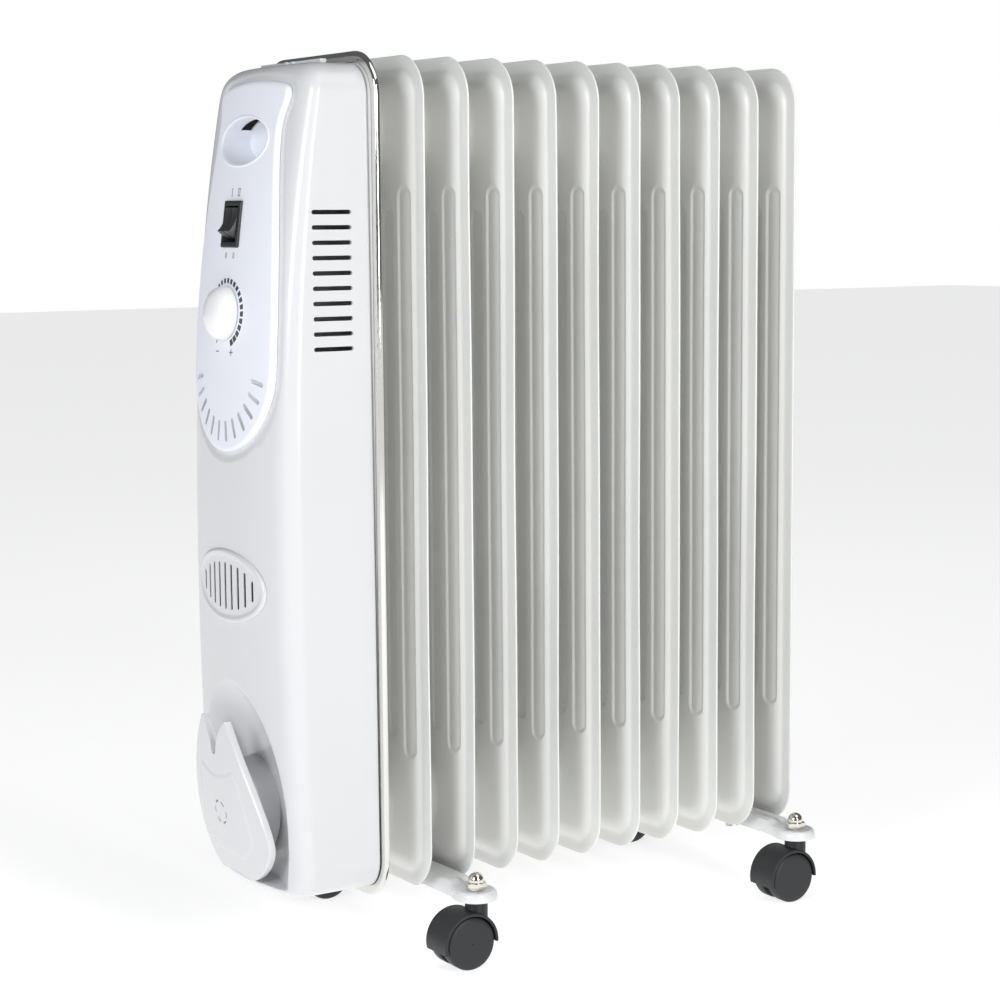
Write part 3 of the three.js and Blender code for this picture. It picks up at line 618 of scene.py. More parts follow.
def box_heights():
    rounding = BOX_CORNER * (1 - np.cos(np.linspace(0, math.pi / 2, 12)))
    marks = list(BOX_BOTTOM + rounding) + list(BOX_TOP - rounding)
    marks += list(np.arange(60, 69, 1.0)) + list(np.arange(69, 222, 1.5))
    marks += list(np.arange(370, 394, 2.0)) + list(np.arange(634, 664, 1.8))
    return spread(marks, 6, BOX_BOTTOM, BOX_TOP)


def box_rings():
    plan = box_plan()
    rings = []
    for z in box_heights():
        from_end = min(z - BOX_BOTTOM, BOX_TOP - z)
        width = (box_half(z) - round_off(from_end, BOX_CORNER)) / BOX_HALF_BOTTOM
        edge = 14 if z > FULLEST_HEIGHT else 9
        depth = (front_depth(z) - round_off(from_end, edge)) / BOX_DEPTH
        y = plan[:, 1] * width
        x = BOX_BACK + (plan[:, 0] - BOX_BACK) * depth
        facing = ease((BOX_HALF_BOTTOM - 2 - np.abs(plan[:, 1])) / 12)
        heights = np.full(len(y), z)
        dish = ease((DISH_MARGIN - outside_distance(y, heights, PANEL)) / 3.5)
        x = x + facing * (DISH_DEPTH * dish + scoop_depth(y, heights))
        rings.append(np.column_stack([x, y, heights]))
    return rings


def capped_box():
    rings = box_rings()
    count = len(rings[0])
    points = np.concatenate(rings)
    faces = grid_faces(len(rings), count)
    half = count // 2
    for row, flip in ((0, False), (len(rings) - 1, True)):
        start = row * count
        for j in range(half):
            a, b = start + j, start + j + 1
            c, d = start + count - 1 - j, start + count - 2 - j
            faces.append((a, b, d, c) if flip else (c, d, b, a))
    return points, faces


def oval(cy, cz, half_y, half_z, count=64):
    angles = np.linspace(0, 2 * math.pi, count, endpoint=False)
    return np.column_stack([cy + half_y * np.cos(angles), cz + half_z * np.sin(angles)])


def rounded_rect(cy, cz, half_y, half_z, radius, per_corner=5):
    points = []
    for turn, (sy, sz) in enumerate(((1, 1), (-1, 1), (-1, -1), (1, -1))):
        for angle in np.linspace(0, math.pi / 2, per_corner):
            theta = angle + turn * math.pi / 2
            points.append((cy + sy * (half_y - radius) + radius * math.cos(theta),
                           cz + sz * (half_z - radius) + radius * math.sin(theta)))
    return np.array(points)


def slot_outline(a0, b0, a1, b1, width, per_end=8):
    direction = math.atan2(b1 - b0, a1 - a0)
    points = []
    for (a, b), turn in (((a1, b1), -math.pi / 2), ((a0, b0), math.pi / 2)):
        for angle in np.linspace(0, math.pi, per_end):
            theta = direction + turn + angle
            points.append((a + width / 2 * math.cos(theta), b + width / 2 * math.sin(theta)))
    return np.array(points)


FAR_FRONT = -2 * BOX_DEPTH
SIDE_SLOTS = 10
SIDE_SLOT_PITCH = 10.8
SIDE_SLOT_LOWEST = 461
SIDE_SLOT_ENDS = (-47.3, -18.3)


def side_slot_cutters():
    cutters = []
    for index in range(SIDE_SLOTS):
        z = SIDE_SLOT_LOWEST + index * SIDE_SLOT_PITCH
        outline = slot_outline(SIDE_SLOT_ENDS[0], z, SIDE_SLOT_ENDS[1], z, 3.2)
        for side in (-1, 1):
            cutters.append(prism(outline, side * 60, side * 90, "y"))
    return cutters


def front_holes(grip_room, shaft_radius, back):
    """The holes for the grip cup, the switch and the knob's spindle."""
    grip = oval(0, GRIP_HEIGHT, GRIP_HALF[0] + grip_room, GRIP_HALF[1] + grip_room)
    switch = rounded_rect(0, 0, SWITCH_BODY[0] + 0.3, SWITCH_BODY[1] + 0.3, 1)
    return [
        prism(grip, FAR_FRONT, back),
        on_panel(prism(switch, -30, 30), SWITCH_HEIGHT),
        on_panel(turned([(shaft_radius, -30), (shaft_radius, 30)], "x", 32), KNOB_HEIGHT),
    ]


def make_housing():
    obj = raw_object("housing", capped_box())
    shell = obj.modifiers.new("wall", "SOLIDIFY")
    shell.thickness = BOX_WALL * MM
    shell.offset = -1
    apply_modifiers(obj)
    cutters = front_holes(0.6, 8, -40) + side_slot_cutters() + [
        prism(oval(0, DIAL_CENTRE - 35, 45, 17), FAR_FRONT, -40),
        prism(oval(0, VENT_HEIGHT, 46, 20), FAR_FRONT, -40),
        turned([(8, 40), (8, 90)], "z", 32, (GLAND_X, 0, 0)),
    ]
    combine(obj, joined(cutters), "DIFFERENCE")
    finished(obj, box_white, replaces=["control_housing"], smooth=32)


# ---- skins on the front ----------------------------------------------------------------
def skin_part(outline, spine, lift, back, rings=26):
    """A closed skin on the box's front. lift(y, z, inset) is how proud its face stands,
    and back how far behind the nominal front its rear face lies."""
    low, high = spine
    centre = np.column_stack([np.zeros(len(outline)), np.clip(outline[:, 1], low, high)])
    shares = 1 - (1 - np.linspace(0, 1, rings)) ** 1.6
    y = np.array([centre[:, 0] + (outline[:, 0] - centre[:, 0]) * s for s in shares])
    z = np.array([centre[:, 1] + (outline[:, 1] - centre[:, 1]) * s for s in shares])
    inset = -outside_distance(y, z, outline)
    inset[-1] = 0
    face = front_x(y, z) - lift(y, z, inset)
    rear = front_x(y, z) + back
    count = len(outline)
    parts = []
    for x, flip in ((face, False), (rear, True)):
        points = np.stack([x, y, z], -1).reshape(-1, 3)
        faces = grid_faces(len(shares), count, closed=True)
        parts.append((points, [f[::-1] for f in faces] if flip else faces))
    points, faces = joined(parts)
    last = (len(shares) - 1) * count
    total = len(shares) * count
    for j in range(count):
        k = (j + 1) % count
        faces.append((last + k, last + j, total + last + j, total + last + k))
    return points, faces


def welded(obj):
    """Joins the points that a skin's two halves share along its spine."""
    mesh = bmesh.new()
    mesh.from_mesh(obj.data)
    bmesh.ops.remove_doubles(mesh, verts=mesh.verts, dist=0.002 * MM)
    mesh.to_mesh(obj.data)
    mesh.free()
    return obj


def edge_roll(inset, radius):
    return np.sqrt(np.maximum(0, 1 - (1 - np.clip(inset / radius, 0, 1)) ** 2))


def make_fascia():
    def lift(y, z, inset):
        return -DISH_DEPTH + (PANEL_PROUD + DISH_DEPTH) * edge_roll(inset, 3.2)

    part = skin_part(PANEL, (DIAL_CENTRE, 606), lift, DISH_DEPTH + 0.2)
    obj = welded(raw_object("fascia", part))
    cutters = front_holes(0.3, 5, -30)
    inner, outer = FAN_REACH
    for index in range(FAN_SLOTS):
        angle = -math.pi / 2 + FAN_SPREAD * (index / (FAN_SLOTS - 1) - 0.5)
        y, z = math.cos(angle), math.sin(angle)
        outline = slot_outline(inner * y, DIAL_CENTRE + inner * z, outer * y,
                               DIAL_CENTRE + outer * z, 3.4)
        cutters.append(prism(outline, FAR_FRONT, -30))
    combine(obj, joined(cutters), "DIFFERENCE")
    finished(obj, panel_white, replaces=["fascia_panel"], smooth=32)


def make_vent():
    outline = oval(0, VENT_HEIGHT, *VENT_HALF, count=120)

    def lift(y, z, inset):
        crest = 2.0 * edge_roll(inset, 2.6)
        return crest - 1.0 * ease((inset - 2.6) / 3.6)

    obj = welded(raw_object("vent", skin_part(outline, (VENT_HEIGHT, VENT_HEIGHT), lift, -0.3)))
    cutters = []
    for index in range(VENT_SLOTS):
        y = (index - (VENT_SLOTS - 1) / 2) * VENT_PITCH
        reach = 17.5 * math.sqrt(1 - (y / 42.5) ** 2) - 1.4
        outline = slot_outline(y, VENT_HEIGHT - reach, y, VENT_HEIGHT + reach, 2.8)
        cutters.append(prism(outline, FAR_FRONT, -30))
    combine(obj, joined(cutters), "DIFFERENCE")
    finished(obj, box_white, replaces=["vent_grille"], smooth=32)


def make_grip():
    """An oval cup with a rolled lip, open upwards so that fingers can curl behind the front."""
    a, b = GRIP_HALF
    back = -41

    def ring(grow, x=None, proud=0.0):
        outline = oval(0, GRIP_HEIGHT, a + grow, b + grow, 72)
        if x is None:
            xs = front_x(outline[:, 0], outline[:, 1]) - PANEL_PROUD - proud
        else:
            xs = np.full(len(outline), float(x))
        return np.column_stack([xs, outline])

    rings = [ring(1.5, proud=-0.1), ring(1.2, proud=0.35), ring(0.6, proud=0.6),
             ring(0, proud=0.45), ring(-0.6, proud=-0.2), ring(-1.0, proud=-1.4),
             ring(-1.6, x=back), ring(-2.2, x=back + 1.0), ring(-5, x=back + 1.6),
             ring(-10, x=back + 1.8), ring(-16, x=back + 1.8)]
    outer = [ring(-16, x=back + 3.2), ring(-1, x=back + 3.2), ring(0, x=back + 2),
             ring(0, proud=-1.4)]
    points, faces = lofted(rings + outer, caps=False)
    count = len(rings[0])
    last = len(points) - count
    for j in range(count):
        k = (j + 1) % count
        faces.append((last + k, last + j, j, k))
    start = (len(rings) - 1) * count
    drop = set(range(start, start + count))
    faces = [f for f in faces if not (f[0] in drop and f[2] >= start + count)]
    faces.append(tuple(range(start, start + count)))
    faces.append(tuple(range(start + count, start + 2 * count))[::-1])
    obj = raw_object("grip", (points, faces))
    room = prism([(-a - 5, GRIP_HEIGHT + 9), (a + 5, GRIP_HEIGHT + 9), (a + 5, 640),
                  (-a - 5, 640)], -50, back)
    combine(obj, room, "DIFFERENCE")
    finished(obj, panel_white, replaces=["grip_cup"], smooth=34)


def make_top_strip():
    low, high = box_mm("top_strip")
    strip = prism([(low[1], low[2]), (high[1], low[2]), (high[1], high[2]),
                   (low[1], high[2])], -24, -19)
    obj = raw_object("strip_on_top", strip)
    for y in (-5, 5):
        bump = prism([(y - 2, low[2]), (y + 2, low[2]), (y + 2, high[2]), (y - 2, high[2])],
                     -25.5, -23)
        combine(obj, bump, "UNION")
    bevelled(obj, 0.7, 3)
    finished(obj, box_white, replaces=["top_strip"])


# ---- cord winder -----------------------------------------------------------------------
def slab(front, rear, y, z):
    """A closed sheet between two depths over a grid of points."""
    rows, columns = y.shape
    faces = grid_faces(rows, columns)
    points, faces = joined([
        (np.stack([front, y, z], -1).reshape(-1, 3), faces),
        (np.stack([rear, y, z], -1).reshape(-1, 3), [f[::-1] for f in faces]),
    ])
    border = list(range(columns))
    border += [i * columns + columns - 1 for i in range(1, rows)]
    border += [(rows - 1) * columns + j for j in range(columns - 2, -1, -1)]
    border += [i * columns for i in range(rows - 2, 0, -1)]
    total = rows * columns
    for a, b in zip(border, border[1:] + border[:1]):
        faces.append((a, b, b + total, a + total))
    return points, faces


def plate_outline():
    tip, notch_half, notch_height, toe = 18.9, 3.6, 163, 24
    right = np.concatenate([
        bezier([(toe, PLATE_BOTTOM), (36, 70), (PLATE_HALF, 84), (PLATE_HALF, 100)], 18),
        bezier([(PLATE_HALF, 100), (PLATE_HALF, 116), (45, 140), (37.3, 155)], 16),
        bezier([(37.3, 155), (28, 173.5), (tip, PLATE_TOP)], 12),
        bezier([(tip, PLATE_TOP), (notch_half + 1, 176), (notch_half, notch_height)], 10),
    ])
    angles = np.linspace(0, -math.pi, 11)
    bottom = np.column_stack([notch_half * np.cos(angles),
                              notch_height + notch_half * np.sin(angles)])
    bay = bezier([(-toe, PLATE_BOTTOM), (0, PLATE_BOTTOM + 5), (toe, PLATE_BOTTOM)], 16)
    left = right[::-1] * [-1, 1]
    return np.concatenate([right, bottom, left[:-1], bay])


def plate_bow(y, z):
    drop = np.maximum(0, PLATE_TOP - z)
    return y * y / (2 * PLATE_BOW_ACROSS) + drop * drop / (2 * PLATE_BOW_UP)


def field_outline():
    """The faint raised field on the plate: hollow under the notch, narrow at the bottom."""
    right = np.concatenate([
        bezier([(0, 84), (10, 84), (19.8, 82.3)], 8),
        bezier([(19.8, 82.3), (33, 90), (38.2, 98)], 10),
        bezier([(38.2, 98), (36.5, 116), (32, 139), (25.5, 150)], 16),
        bezier([(25.5, 150), (12, 143), (0, 143)], 10),
    ])
    return np.concatenate([right, right[::-1] * [-1, 1]])


def make_plate():
    ys = np.arange(-60, 60.1, 1.2)
    zs = np.arange(PLATE_BOTTOM - 4, PLATE_TOP + 4, 1.2)
    y, z = np.meshgrid(ys, zs)
    bow = plate_bow(y, z)
    field = ease(0.5 - outside_distance(y, z, field_outline()) / 1.2)
    front = PLATE_FRONT + bow + 0.6 * (1 - field)
    rear = PLATE_FRONT + PLATE_THICKNESS + bow
    obj = raw_object("wrap_plate", slab(front, rear, y, z))
    combine(obj, prism(plate_outline(), FAR_FRONT, -40), "INTERSECT")
    slits = []
    for index in range(6):
        angle = math.radians(60 * index + 5)
        arc = [math.radians(a) for a in np.linspace(-17, 17, 6)]
        outer = [(9.4 * math.cos(angle + a), 115 + 9.4 * math.sin(angle + a)) for a in arc]
        inner = [(7.6 * math.cos(angle + a), 115 + 7.6 * math.sin(angle + a))
                 for a in reversed(arc)]
        slits.append(prism(outer + inner, PLATE_FRONT - 5, PLATE_FRONT + 12))
    combine(obj, joined(slits), "DIFFERENCE")
    bevelled(obj, 0.5, 2, angle=50)
    finished(obj, box_white, replaces=["cord_wrap_plate"], smooth=30)


def make_hub():
    base = SCOOP_BACK
    rings = []
    for grow, x in ((-0.5, -98), (-0.5, -88), (0, -80), (0, base - 3), (1.5, base + 1)):
        outline = oval(0, HUB_HEIGHT, 32 + grow, 36 + grow, 72)
        rings.append(np.column_stack([np.full(len(outline), float(x)), outline]))
    obj = raw_object("wrap_hub", lofted(rings))
    ys = np.linspace(-60, 60, 49)
    zs = np.linspace(60, 190, 53)
    y, z = np.meshgrid(ys, zs)
    rear = PLATE_FRONT + PLATE_THICKNESS + 0.3 + plate_bow(y, z)
    front = np.full_like(rear, FAR_FRONT)
    combine(obj, slab(front, rear, y, z), "DIFFERENCE")
    bevelled(obj, 0.8, 2, angle=50)
    finished(obj, box_white, replaces=["cord_wrap_hub"])


def make_gland():
    z = BOX_BOTTOM
    profile = [(4, z - 3), (10.4, z - 3), (11, z - 2.4), (11, z - 0.9), (10.4, z - 0.3),
               (7.7, z - 0.3), (7.7, z + 14), (4, z + 14)]
    part = turned(profile, "z", 40, (GLAND_X, 0, 0), hollow=True)
    finished(raw_object("gland", part), black_plastic,
             replaces=["cord_gland"])


# ---- switch, knob and marks ------------------------------------------------------------
def panel_x(y, z):
    return front_x(y, z) - PANEL_PROUD


def on_panel(part, height):
    """Sets a part, drawn with the panel's face at X = 0, on the panel's slope."""
    points, faces = part
    points = np.array(points, float)
    slope = math.atan((front_depth(height - 1) - front_depth(height + 1)) / 2)
    x = points[:, 0] * math.cos(slope) + points[:, 2] * math.sin(slope)
    z = -points[:, 0] * math.sin(slope) + points[:, 2] * math.cos(slope)
    face = -front_depth(height) - PANEL_PROUD
    return np.column_stack([x + face, points[:, 1], z + height]), faces


def make_switch():
    proud = 2.1
    frame_part = prism(rounded_rect(0, 0, *SWITCH_HALF, 1.2), -proud, 0.6)
    obj = raw_object("switch_bezel", on_panel(frame_part, SWITCH_HEIGHT))
    body = prism(rounded_rect(0, 0, *SWITCH_BODY, 0.8), -1, 22)
    combine(obj, on_panel(body, SWITCH_HEIGHT), "UNION")
    well = prism(rounded_rect(0, 0, *SWITCH_WELL, 0.6), -5, 18)
    combine(obj, on_panel(well, SWITCH_HEIGHT), "DIFFERENCE")
    bevelled(obj, 0.5, 2, angle=50)
    finished(obj, black_plastic, replaces=["switch_frame"])


ROCKER_TILT = 15
ROCKER_PIVOT = 6


def make_rocker(side_name):
    """A rocker with a hollow face, pressed in at its upper end."""
    node = f"rocker_{side_name}"
    low, high = box_mm(node)
    tilt = math.radians(ROCKER_TILT)
    nose_x, nose_z, heel = -11.5, 9.2, 10.5
    face = bezier([(nose_x, nose_z), (nose_x + 4.2, 0), (nose_x, -nose_z)], 24)
    angles = np.linspace(math.pi + 1.2, 3 * math.pi - 1.2, 24)
    under = np.column_stack([heel * np.cos(angles), heel * np.sin(angles)])
    outline = np.concatenate([face, [(nose_x, -nose_z), (-3, -11.6)], under, [(-3, 11.6)]])
    x = outline[:, 0] * math.cos(tilt) + outline[:, 1] * math.sin(tilt) + ROCKER_PIVOT
    z = -outline[:, 0] * math.sin(tilt) + outline[:, 1] * math.cos(tilt)
    key = prism(np.column_stack([x, z]), low[1], high[1], "y")
    obj = raw_object(f"key_{side_name}", on_panel(key, SWITCH_HEIGHT))
    bevelled(obj, 0.4, 2, angle=25)
    finished(obj, black_plastic, body=f"{side_name}_rocker",
             replaces=[node])


def make_knob():
    radius = box_mm("thermostat_knob")[1][1]
    height = 14
    shape = [(radius - 0.6, 0), (radius, 0.5), (radius, 2.2), (radius - 0.35, 4.6),
             (radius - 1.3, 7.2), (radius - 3.2, 9.6), (radius - 6.0, 11.5),
             (radius - 9.6, 12.8), (radius - 13.5, 13.6), (2.0, height)]
    profile = [(r, -0.3 - along) for r, along in shape]
    obj = raw_object("knob", on_panel(turned(profile, "x", 72), KNOB_HEIGHT))
    finished(obj, knob_white, body="knob", replaces=["thermostat_knob"],
             smooth=60)


def mark_part(outline, height=0.12):
    """A thin printed mark that follows the panel."""
    outline = np.asarray(outline, float)
    centre = outline.mean(0)
    rings = []
    for share in (1.0, 0.5):
        ring = centre + (outline - centre) * share
        rings.append(ring)
    y = np.concatenate([r[:, 0] for r in rings])
    z = np.concatenate([r[:, 1] for r in rings])
    count = len(outline)
    top = np.column_stack([panel_x(y, z) - height, y, z])
    bottom = np.column_stack([panel_x(outline[:, 0], outline[:, 1]) + 0.3, outline])
    points = np.concatenate([top, bottom])
    faces = []
    for j in range(count):
        k = (j + 1) % count
        faces.append((j, k, count + k, count + j))
        faces.append((k, j, 2 * count + j, 2 * count + k))
    faces.append(tuple(range(count, 2 * count)))
    faces.append(tuple(range(2 * count, 3 * count))[::-1])
    return points, faces


def bar(y, z, half_y, half_z):
    return [(y - half_y, z - half_z), (y + half_y, z - half_z), (y + half_y, z + half_z),
            (y - half_y, z + half_z)]


def dial_marks():
    """Ticks round the knob that thicken from the low end to the high end."""
    count = 25
    marks = []
    for index in range(count):
        share = index / (count - 1)
        angle = math.radians(32 + 300 * share)
        half_width = math.radians(1.0 + 4.2 * share ** 0.8)
        outer = 25.6
        inner = outer - 2.6 - 1.8 * share
        outline = []
        for radius, turn in ((inner, -1), (inner, 0), (inner, 1), (outer, 1), (outer, 0),
                             (outer, -1)):
            theta = angle + turn * half_width
            outline.append((radius * math.sin(theta), KNOB_HEIGHT - radius * math.cos(theta)))
        marks.append(mark_part(outline))
    return marks


def zero_mark(y, z, half_y=1.2, half_z=2.2, width=0.55):
    outer = oval(y, z, half_y, half_z, 20)
    inner = oval(y, z, half_y - width, half_z - width, 20)
    parts = []
    for j in range(20):
        k = (j + 1) % 20
        parts.append(mark_part([outer[j], outer[k], inner[k], inner[j]]))
    return parts


def roman_mark(y, z, strokes):
    parts = []
    offsets = [0] if strokes == 1 else [-1.1, 1.1]
    for offset in offsets:
        parts.append(mark_part(bar(y + offset, z, 0.35, 2.6)))
    reach = 0.9 if strokes == 1 else 2.0
    for level in (-2.6, 2.6):
        parts.append(mark_part(bar(y, z + level, reach, 0.3)))
    return parts


def make_marks():
    finished(raw_object("dial_marks", joined(dial_marks())), ink)
    small = roman_mark(5.4, 573, 1) + roman_mark(-5.6, 573, 2)
    small += zero_mark(6, 527.5) + zero_mark(-6, 527.5)
    small += [mark_part(bar(11, 457.5, 2.4, 0.45)), mark_part(bar(-11, 457.5, 2.4, 0.45)),
              mark_part(bar(-11, 457.5, 0.45, 2.4))]
    finished(raw_object("panel_marks", joined(small)), grey_ink)


# ---- feet ------------------------------------------------------------------------------
PAD_RADIUS = 16.5
STEM_SIDE = 110
BRACKET_TOP = box_mm("foot_bracket_front")[1][2]
BRACKET_LIP = 7
WEB_HALF = 13.8
WIRE = 3
U_BOLT_RADIUS = 29.3
WHEEL_RADIUS = 20
WHEEL_WIDTH = 11
WHEEL_INNER = 3.4
WHEEL_TRAIL = 12.5
HOOD_RADIUS = 23.2
HOOD_INNER = 21


def bracket_plan():
    """A bracket's outline about its stem line, as (X, Y): two round pads and a web."""
    join = math.sqrt(max(0, (PAD_RADIUS + 6) ** 2 - (WEB_HALF + 6) ** 2))
    end = []
    for angle in np.linspace(-math.pi / 2, math.pi / 2, 41):
        end.append((PAD_RADIUS * math.sin(angle), STEM_SIDE + PAD_RADIUS * math.cos(angle)))
    side = []
    for y in np.linspace(STEM_SIDE - 1, STEM_SIDE - join - 6, 10):
        share = ease((STEM_SIDE - y) / (join + 6))
        side.append((PAD_RADIUS + (WEB_HALF - PAD_RADIUS) * float(share), y))
    outline = end + side + [(WEB_HALF, 40), (WEB_HALF, 0), (WEB_HALF, -40)]
    outline += [(x, -y) for x, y in reversed(side)]
    outline += [(x, -y) for x, y in reversed(end)]
    outline += [(-x, -y) for x, y in side]
    outline += [(-WEB_HALF, -40), (-WEB_HALF, 0), (-WEB_HALF, 40)]
    outline += [(-x, y) for x, y in reversed(side)]
    return np.array(outline)


def bracket_top(x, y, inset):
    """Height of the pressed top: rolled lips, a raised web and a seat round each nut."""
    roll = BRACKET_LIP * (1 - edge_roll(inset, 3.4))
    web = 2.4 * ease((92 - np.abs(y)) / 7) * ease((inset - 1.5) / 3.5)
    away = np.hypot(x, np.abs(y) - STEM_SIDE)
    seat = 0.5 * ease((12 - away) / 1.2)
    return BRACKET_TOP - roll + web - seat


def make_bracket(place, centre_x):
    shares = 1 - (1 - np.linspace(0, 1, 15)[1:]) ** 1.7
    dense = resampled(bracket_plan(), 2.2)
    centre = np.column_stack([np.zeros(len(dense)), np.clip(dense[:, 1], -STEM_SIDE,
                                                            STEM_SIDE)])
    x = np.array([centre[:, 0] + (dense[:, 0] - centre[:, 0]) * s for s in shares])
    y = np.array([centre[:, 1] + (dense[:, 1] - centre[:, 1]) * s for s in shares])
    inset = -outside_distance(x, y, dense)
    inset[-1] = 0
    top = bracket_top(x, y, inset)
    count = len(dense)
    rings = [np.column_stack([centre_x + x[k], y[k], top[k]]) for k in range(len(shares))]
    lip = BRACKET_TOP - BRACKET_LIP
    rings.append(np.column_stack([centre_x + x[-1], y[-1], np.full(count, lip - 0.01)]))
    wall = 1.8
    for k in range(len(shares) - 1, -1, -1):
        under = np.minimum(bracket_top(x[k], y[k], np.maximum(inset[k] - wall, 0)) - wall,
                           BRACKET_TOP - 2.0)
        rings.append(np.column_stack([centre_x + x[k] * (0.88 if k == len(shares) - 1 else 1),
                                      y[k], np.maximum(under, lip - 0.01)]))
    rings = rings[:len(shares) + 1] + rings[len(shares) + 2:]
    obj = raw_object(f"bracket_{place}", lofted(rings))
    holes = [turned([(3.9, 30), (3.9, 80)], "z", 24, (centre_x, s * STEM_SIDE, 0))
             for s in (-1, 1)]
    bolt_x = centre_x - STEM_OFFSET
    holes += [turned([(WIRE + 0.4, 30), (WIRE + 0.4, 80)], "z", 20,
                     (bolt_x, s * U_BOLT_RADIUS, 0)) for s in (-1, 1)]
    combine(obj, joined(holes), "DIFFERENCE")
    finished(obj, bracket_paint, replaces=[f"foot_bracket_{place}"],
             smooth=40)


def resampled(outline, step):
    closed = np.vstack([outline, outline[:1]])
    lengths = np.hypot(*np.diff(closed, axis=0).T)
    along = np.concatenate([[0], np.cumsum(lengths)])
    count = max(8, int(along[-1] / step))
    places = np.linspace(0, along[-1], count, endpoint=False)
    return np.column_stack([np.interp(places, along, closed[:, k]) for k in (0, 1)])


def tube(path, radius, sides=20):
    path = np.asarray(path, float)
    tangents = np.gradient(path, axis=0)
    tangents /= np.linalg.norm(tangents, axis=1)[:, None]
    across = np.array([1.0, 0, 0])
    angles = np.linspace(0, 2 * math.pi, sides, endpoint=False)
    rings = []
    for point, tangent in zip(path, tangents):
        other = np.cross(tangent, across)
        rings.append(point + radius * (np.outer(np.cos(angles), across)
                                       + np.outer(np.sin(angles), other)))
    return lofted(rings)


def make_u_bolt(place, x):
    foot = box_mm(f"u_bolt_{place}")[0][2]
    straight = np.linspace(foot, HEADER_BOTTOM, 14)[:-1]
    path = [(x, -U_BOLT_RADIUS, z) for z in straight]
    for angle in np.linspace(math.pi, 0, 33):
        path.append((x, U_BOLT_RADIUS * math.cos(angle),
                     HEADER_BOTTOM + U_BOLT_RADIUS * math.sin(angle)))
    path += [(x, U_BOLT_RADIUS, z) for z in straight[::-1]]
    finished(raw_object(f"clamp_{place}", tube(path, WIRE)), zinc,
             replaces=[f"u_bolt_{place}"])


def make_wing_nut(tag, x, y):
    top = box_mm(f"wing_nut_{tag}")[1][2]
    profile = [(6, top), (6.4, top - 0.6), (6.4, top - 1.4), (5.4, top - 2.2), (5, top - 5.4),
               (4.4, top - 6)]
    obj = raw_object(f"winged_{tag}", turned(profile[::-1], "z", 32, (x, y, 0)))
    for side in (-1, 1):
        wing = bezier([(side * 3.5, top - 1.6), (side * 8, top - 1.2), (side * 10, top - 3),
                       (side * 12, top - 7)], 10)
        back = bezier([(side * 12, top - 7), (side * 12.5, top - 10), (side * 9.6, top - 10)],
                      6)
        lower = bezier([(side * 9.6, top - 10), (side * 7, top - 6), (side * 3.5, top - 5.4)],
                       8)
        outline = np.concatenate([wing, back, lower, [(side * 3.5, top - 5.4)]])
        outline = outline + [y, 0]
        combine(obj, prism(outline, x - 1, x + 1), "UNION")
    combine(obj, turned([(WIRE + 0.25, 20), (WIRE + 0.25, 80)], "z", 24, (x, y, 0)),
            "DIFFERENCE")
    bevelled(obj, 0.3, 2, angle=40)
    finished(obj, zinc, replaces=[f"wing_nut_{tag}"])


def make_dome_nut(tag, x, y):
    """A chromed cap nut: a hexagon with turned-off corners under a dome."""
    low, high = box_mm(f"dome_nut_{tag}")
    base, top = low[2], high[2]
    corner = 8.1
    angles = np.linspace(0, 2 * math.pi, 6, endpoint=False) + math.radians(12)
    hexagon = np.column_stack([corner * np.cos(angles), corner * np.sin(angles)])
    obj = raw_object(f"cap_{tag}", prism(hexagon + [x, y], base, base + 5, "z"))
    cone = turned([(7.0, base - 0.01), (8.2, base + 0.9), (8.2, base + 4.1),
                   (7.0, base + 5.01)], "z", 48, (x, y, 0))
    combine(obj, cone, "INTERSECT")
    dome = [(5.9, base + 4), (5.9, base + 6.4)]
    for angle in np.linspace(0.1, math.pi / 2 - 0.02, 11):
        dome.append((5.9 * math.cos(angle), base + 6.4 + (top - base - 6.4) * math.sin(angle)))
    combine(obj, turned(dome, "z", 48, (x, y, 0)), "UNION")
    combine(obj, turned([(4.05, base - 1), (4.05, base + 8.4)], "z", 24, (x, y, 0)),
            "DIFFERENCE")
    bevelled(obj, 0.18, 2, angle=28)
    finished(obj, nickel, replaces=[f"dome_nut_{tag}"], smooth=30)


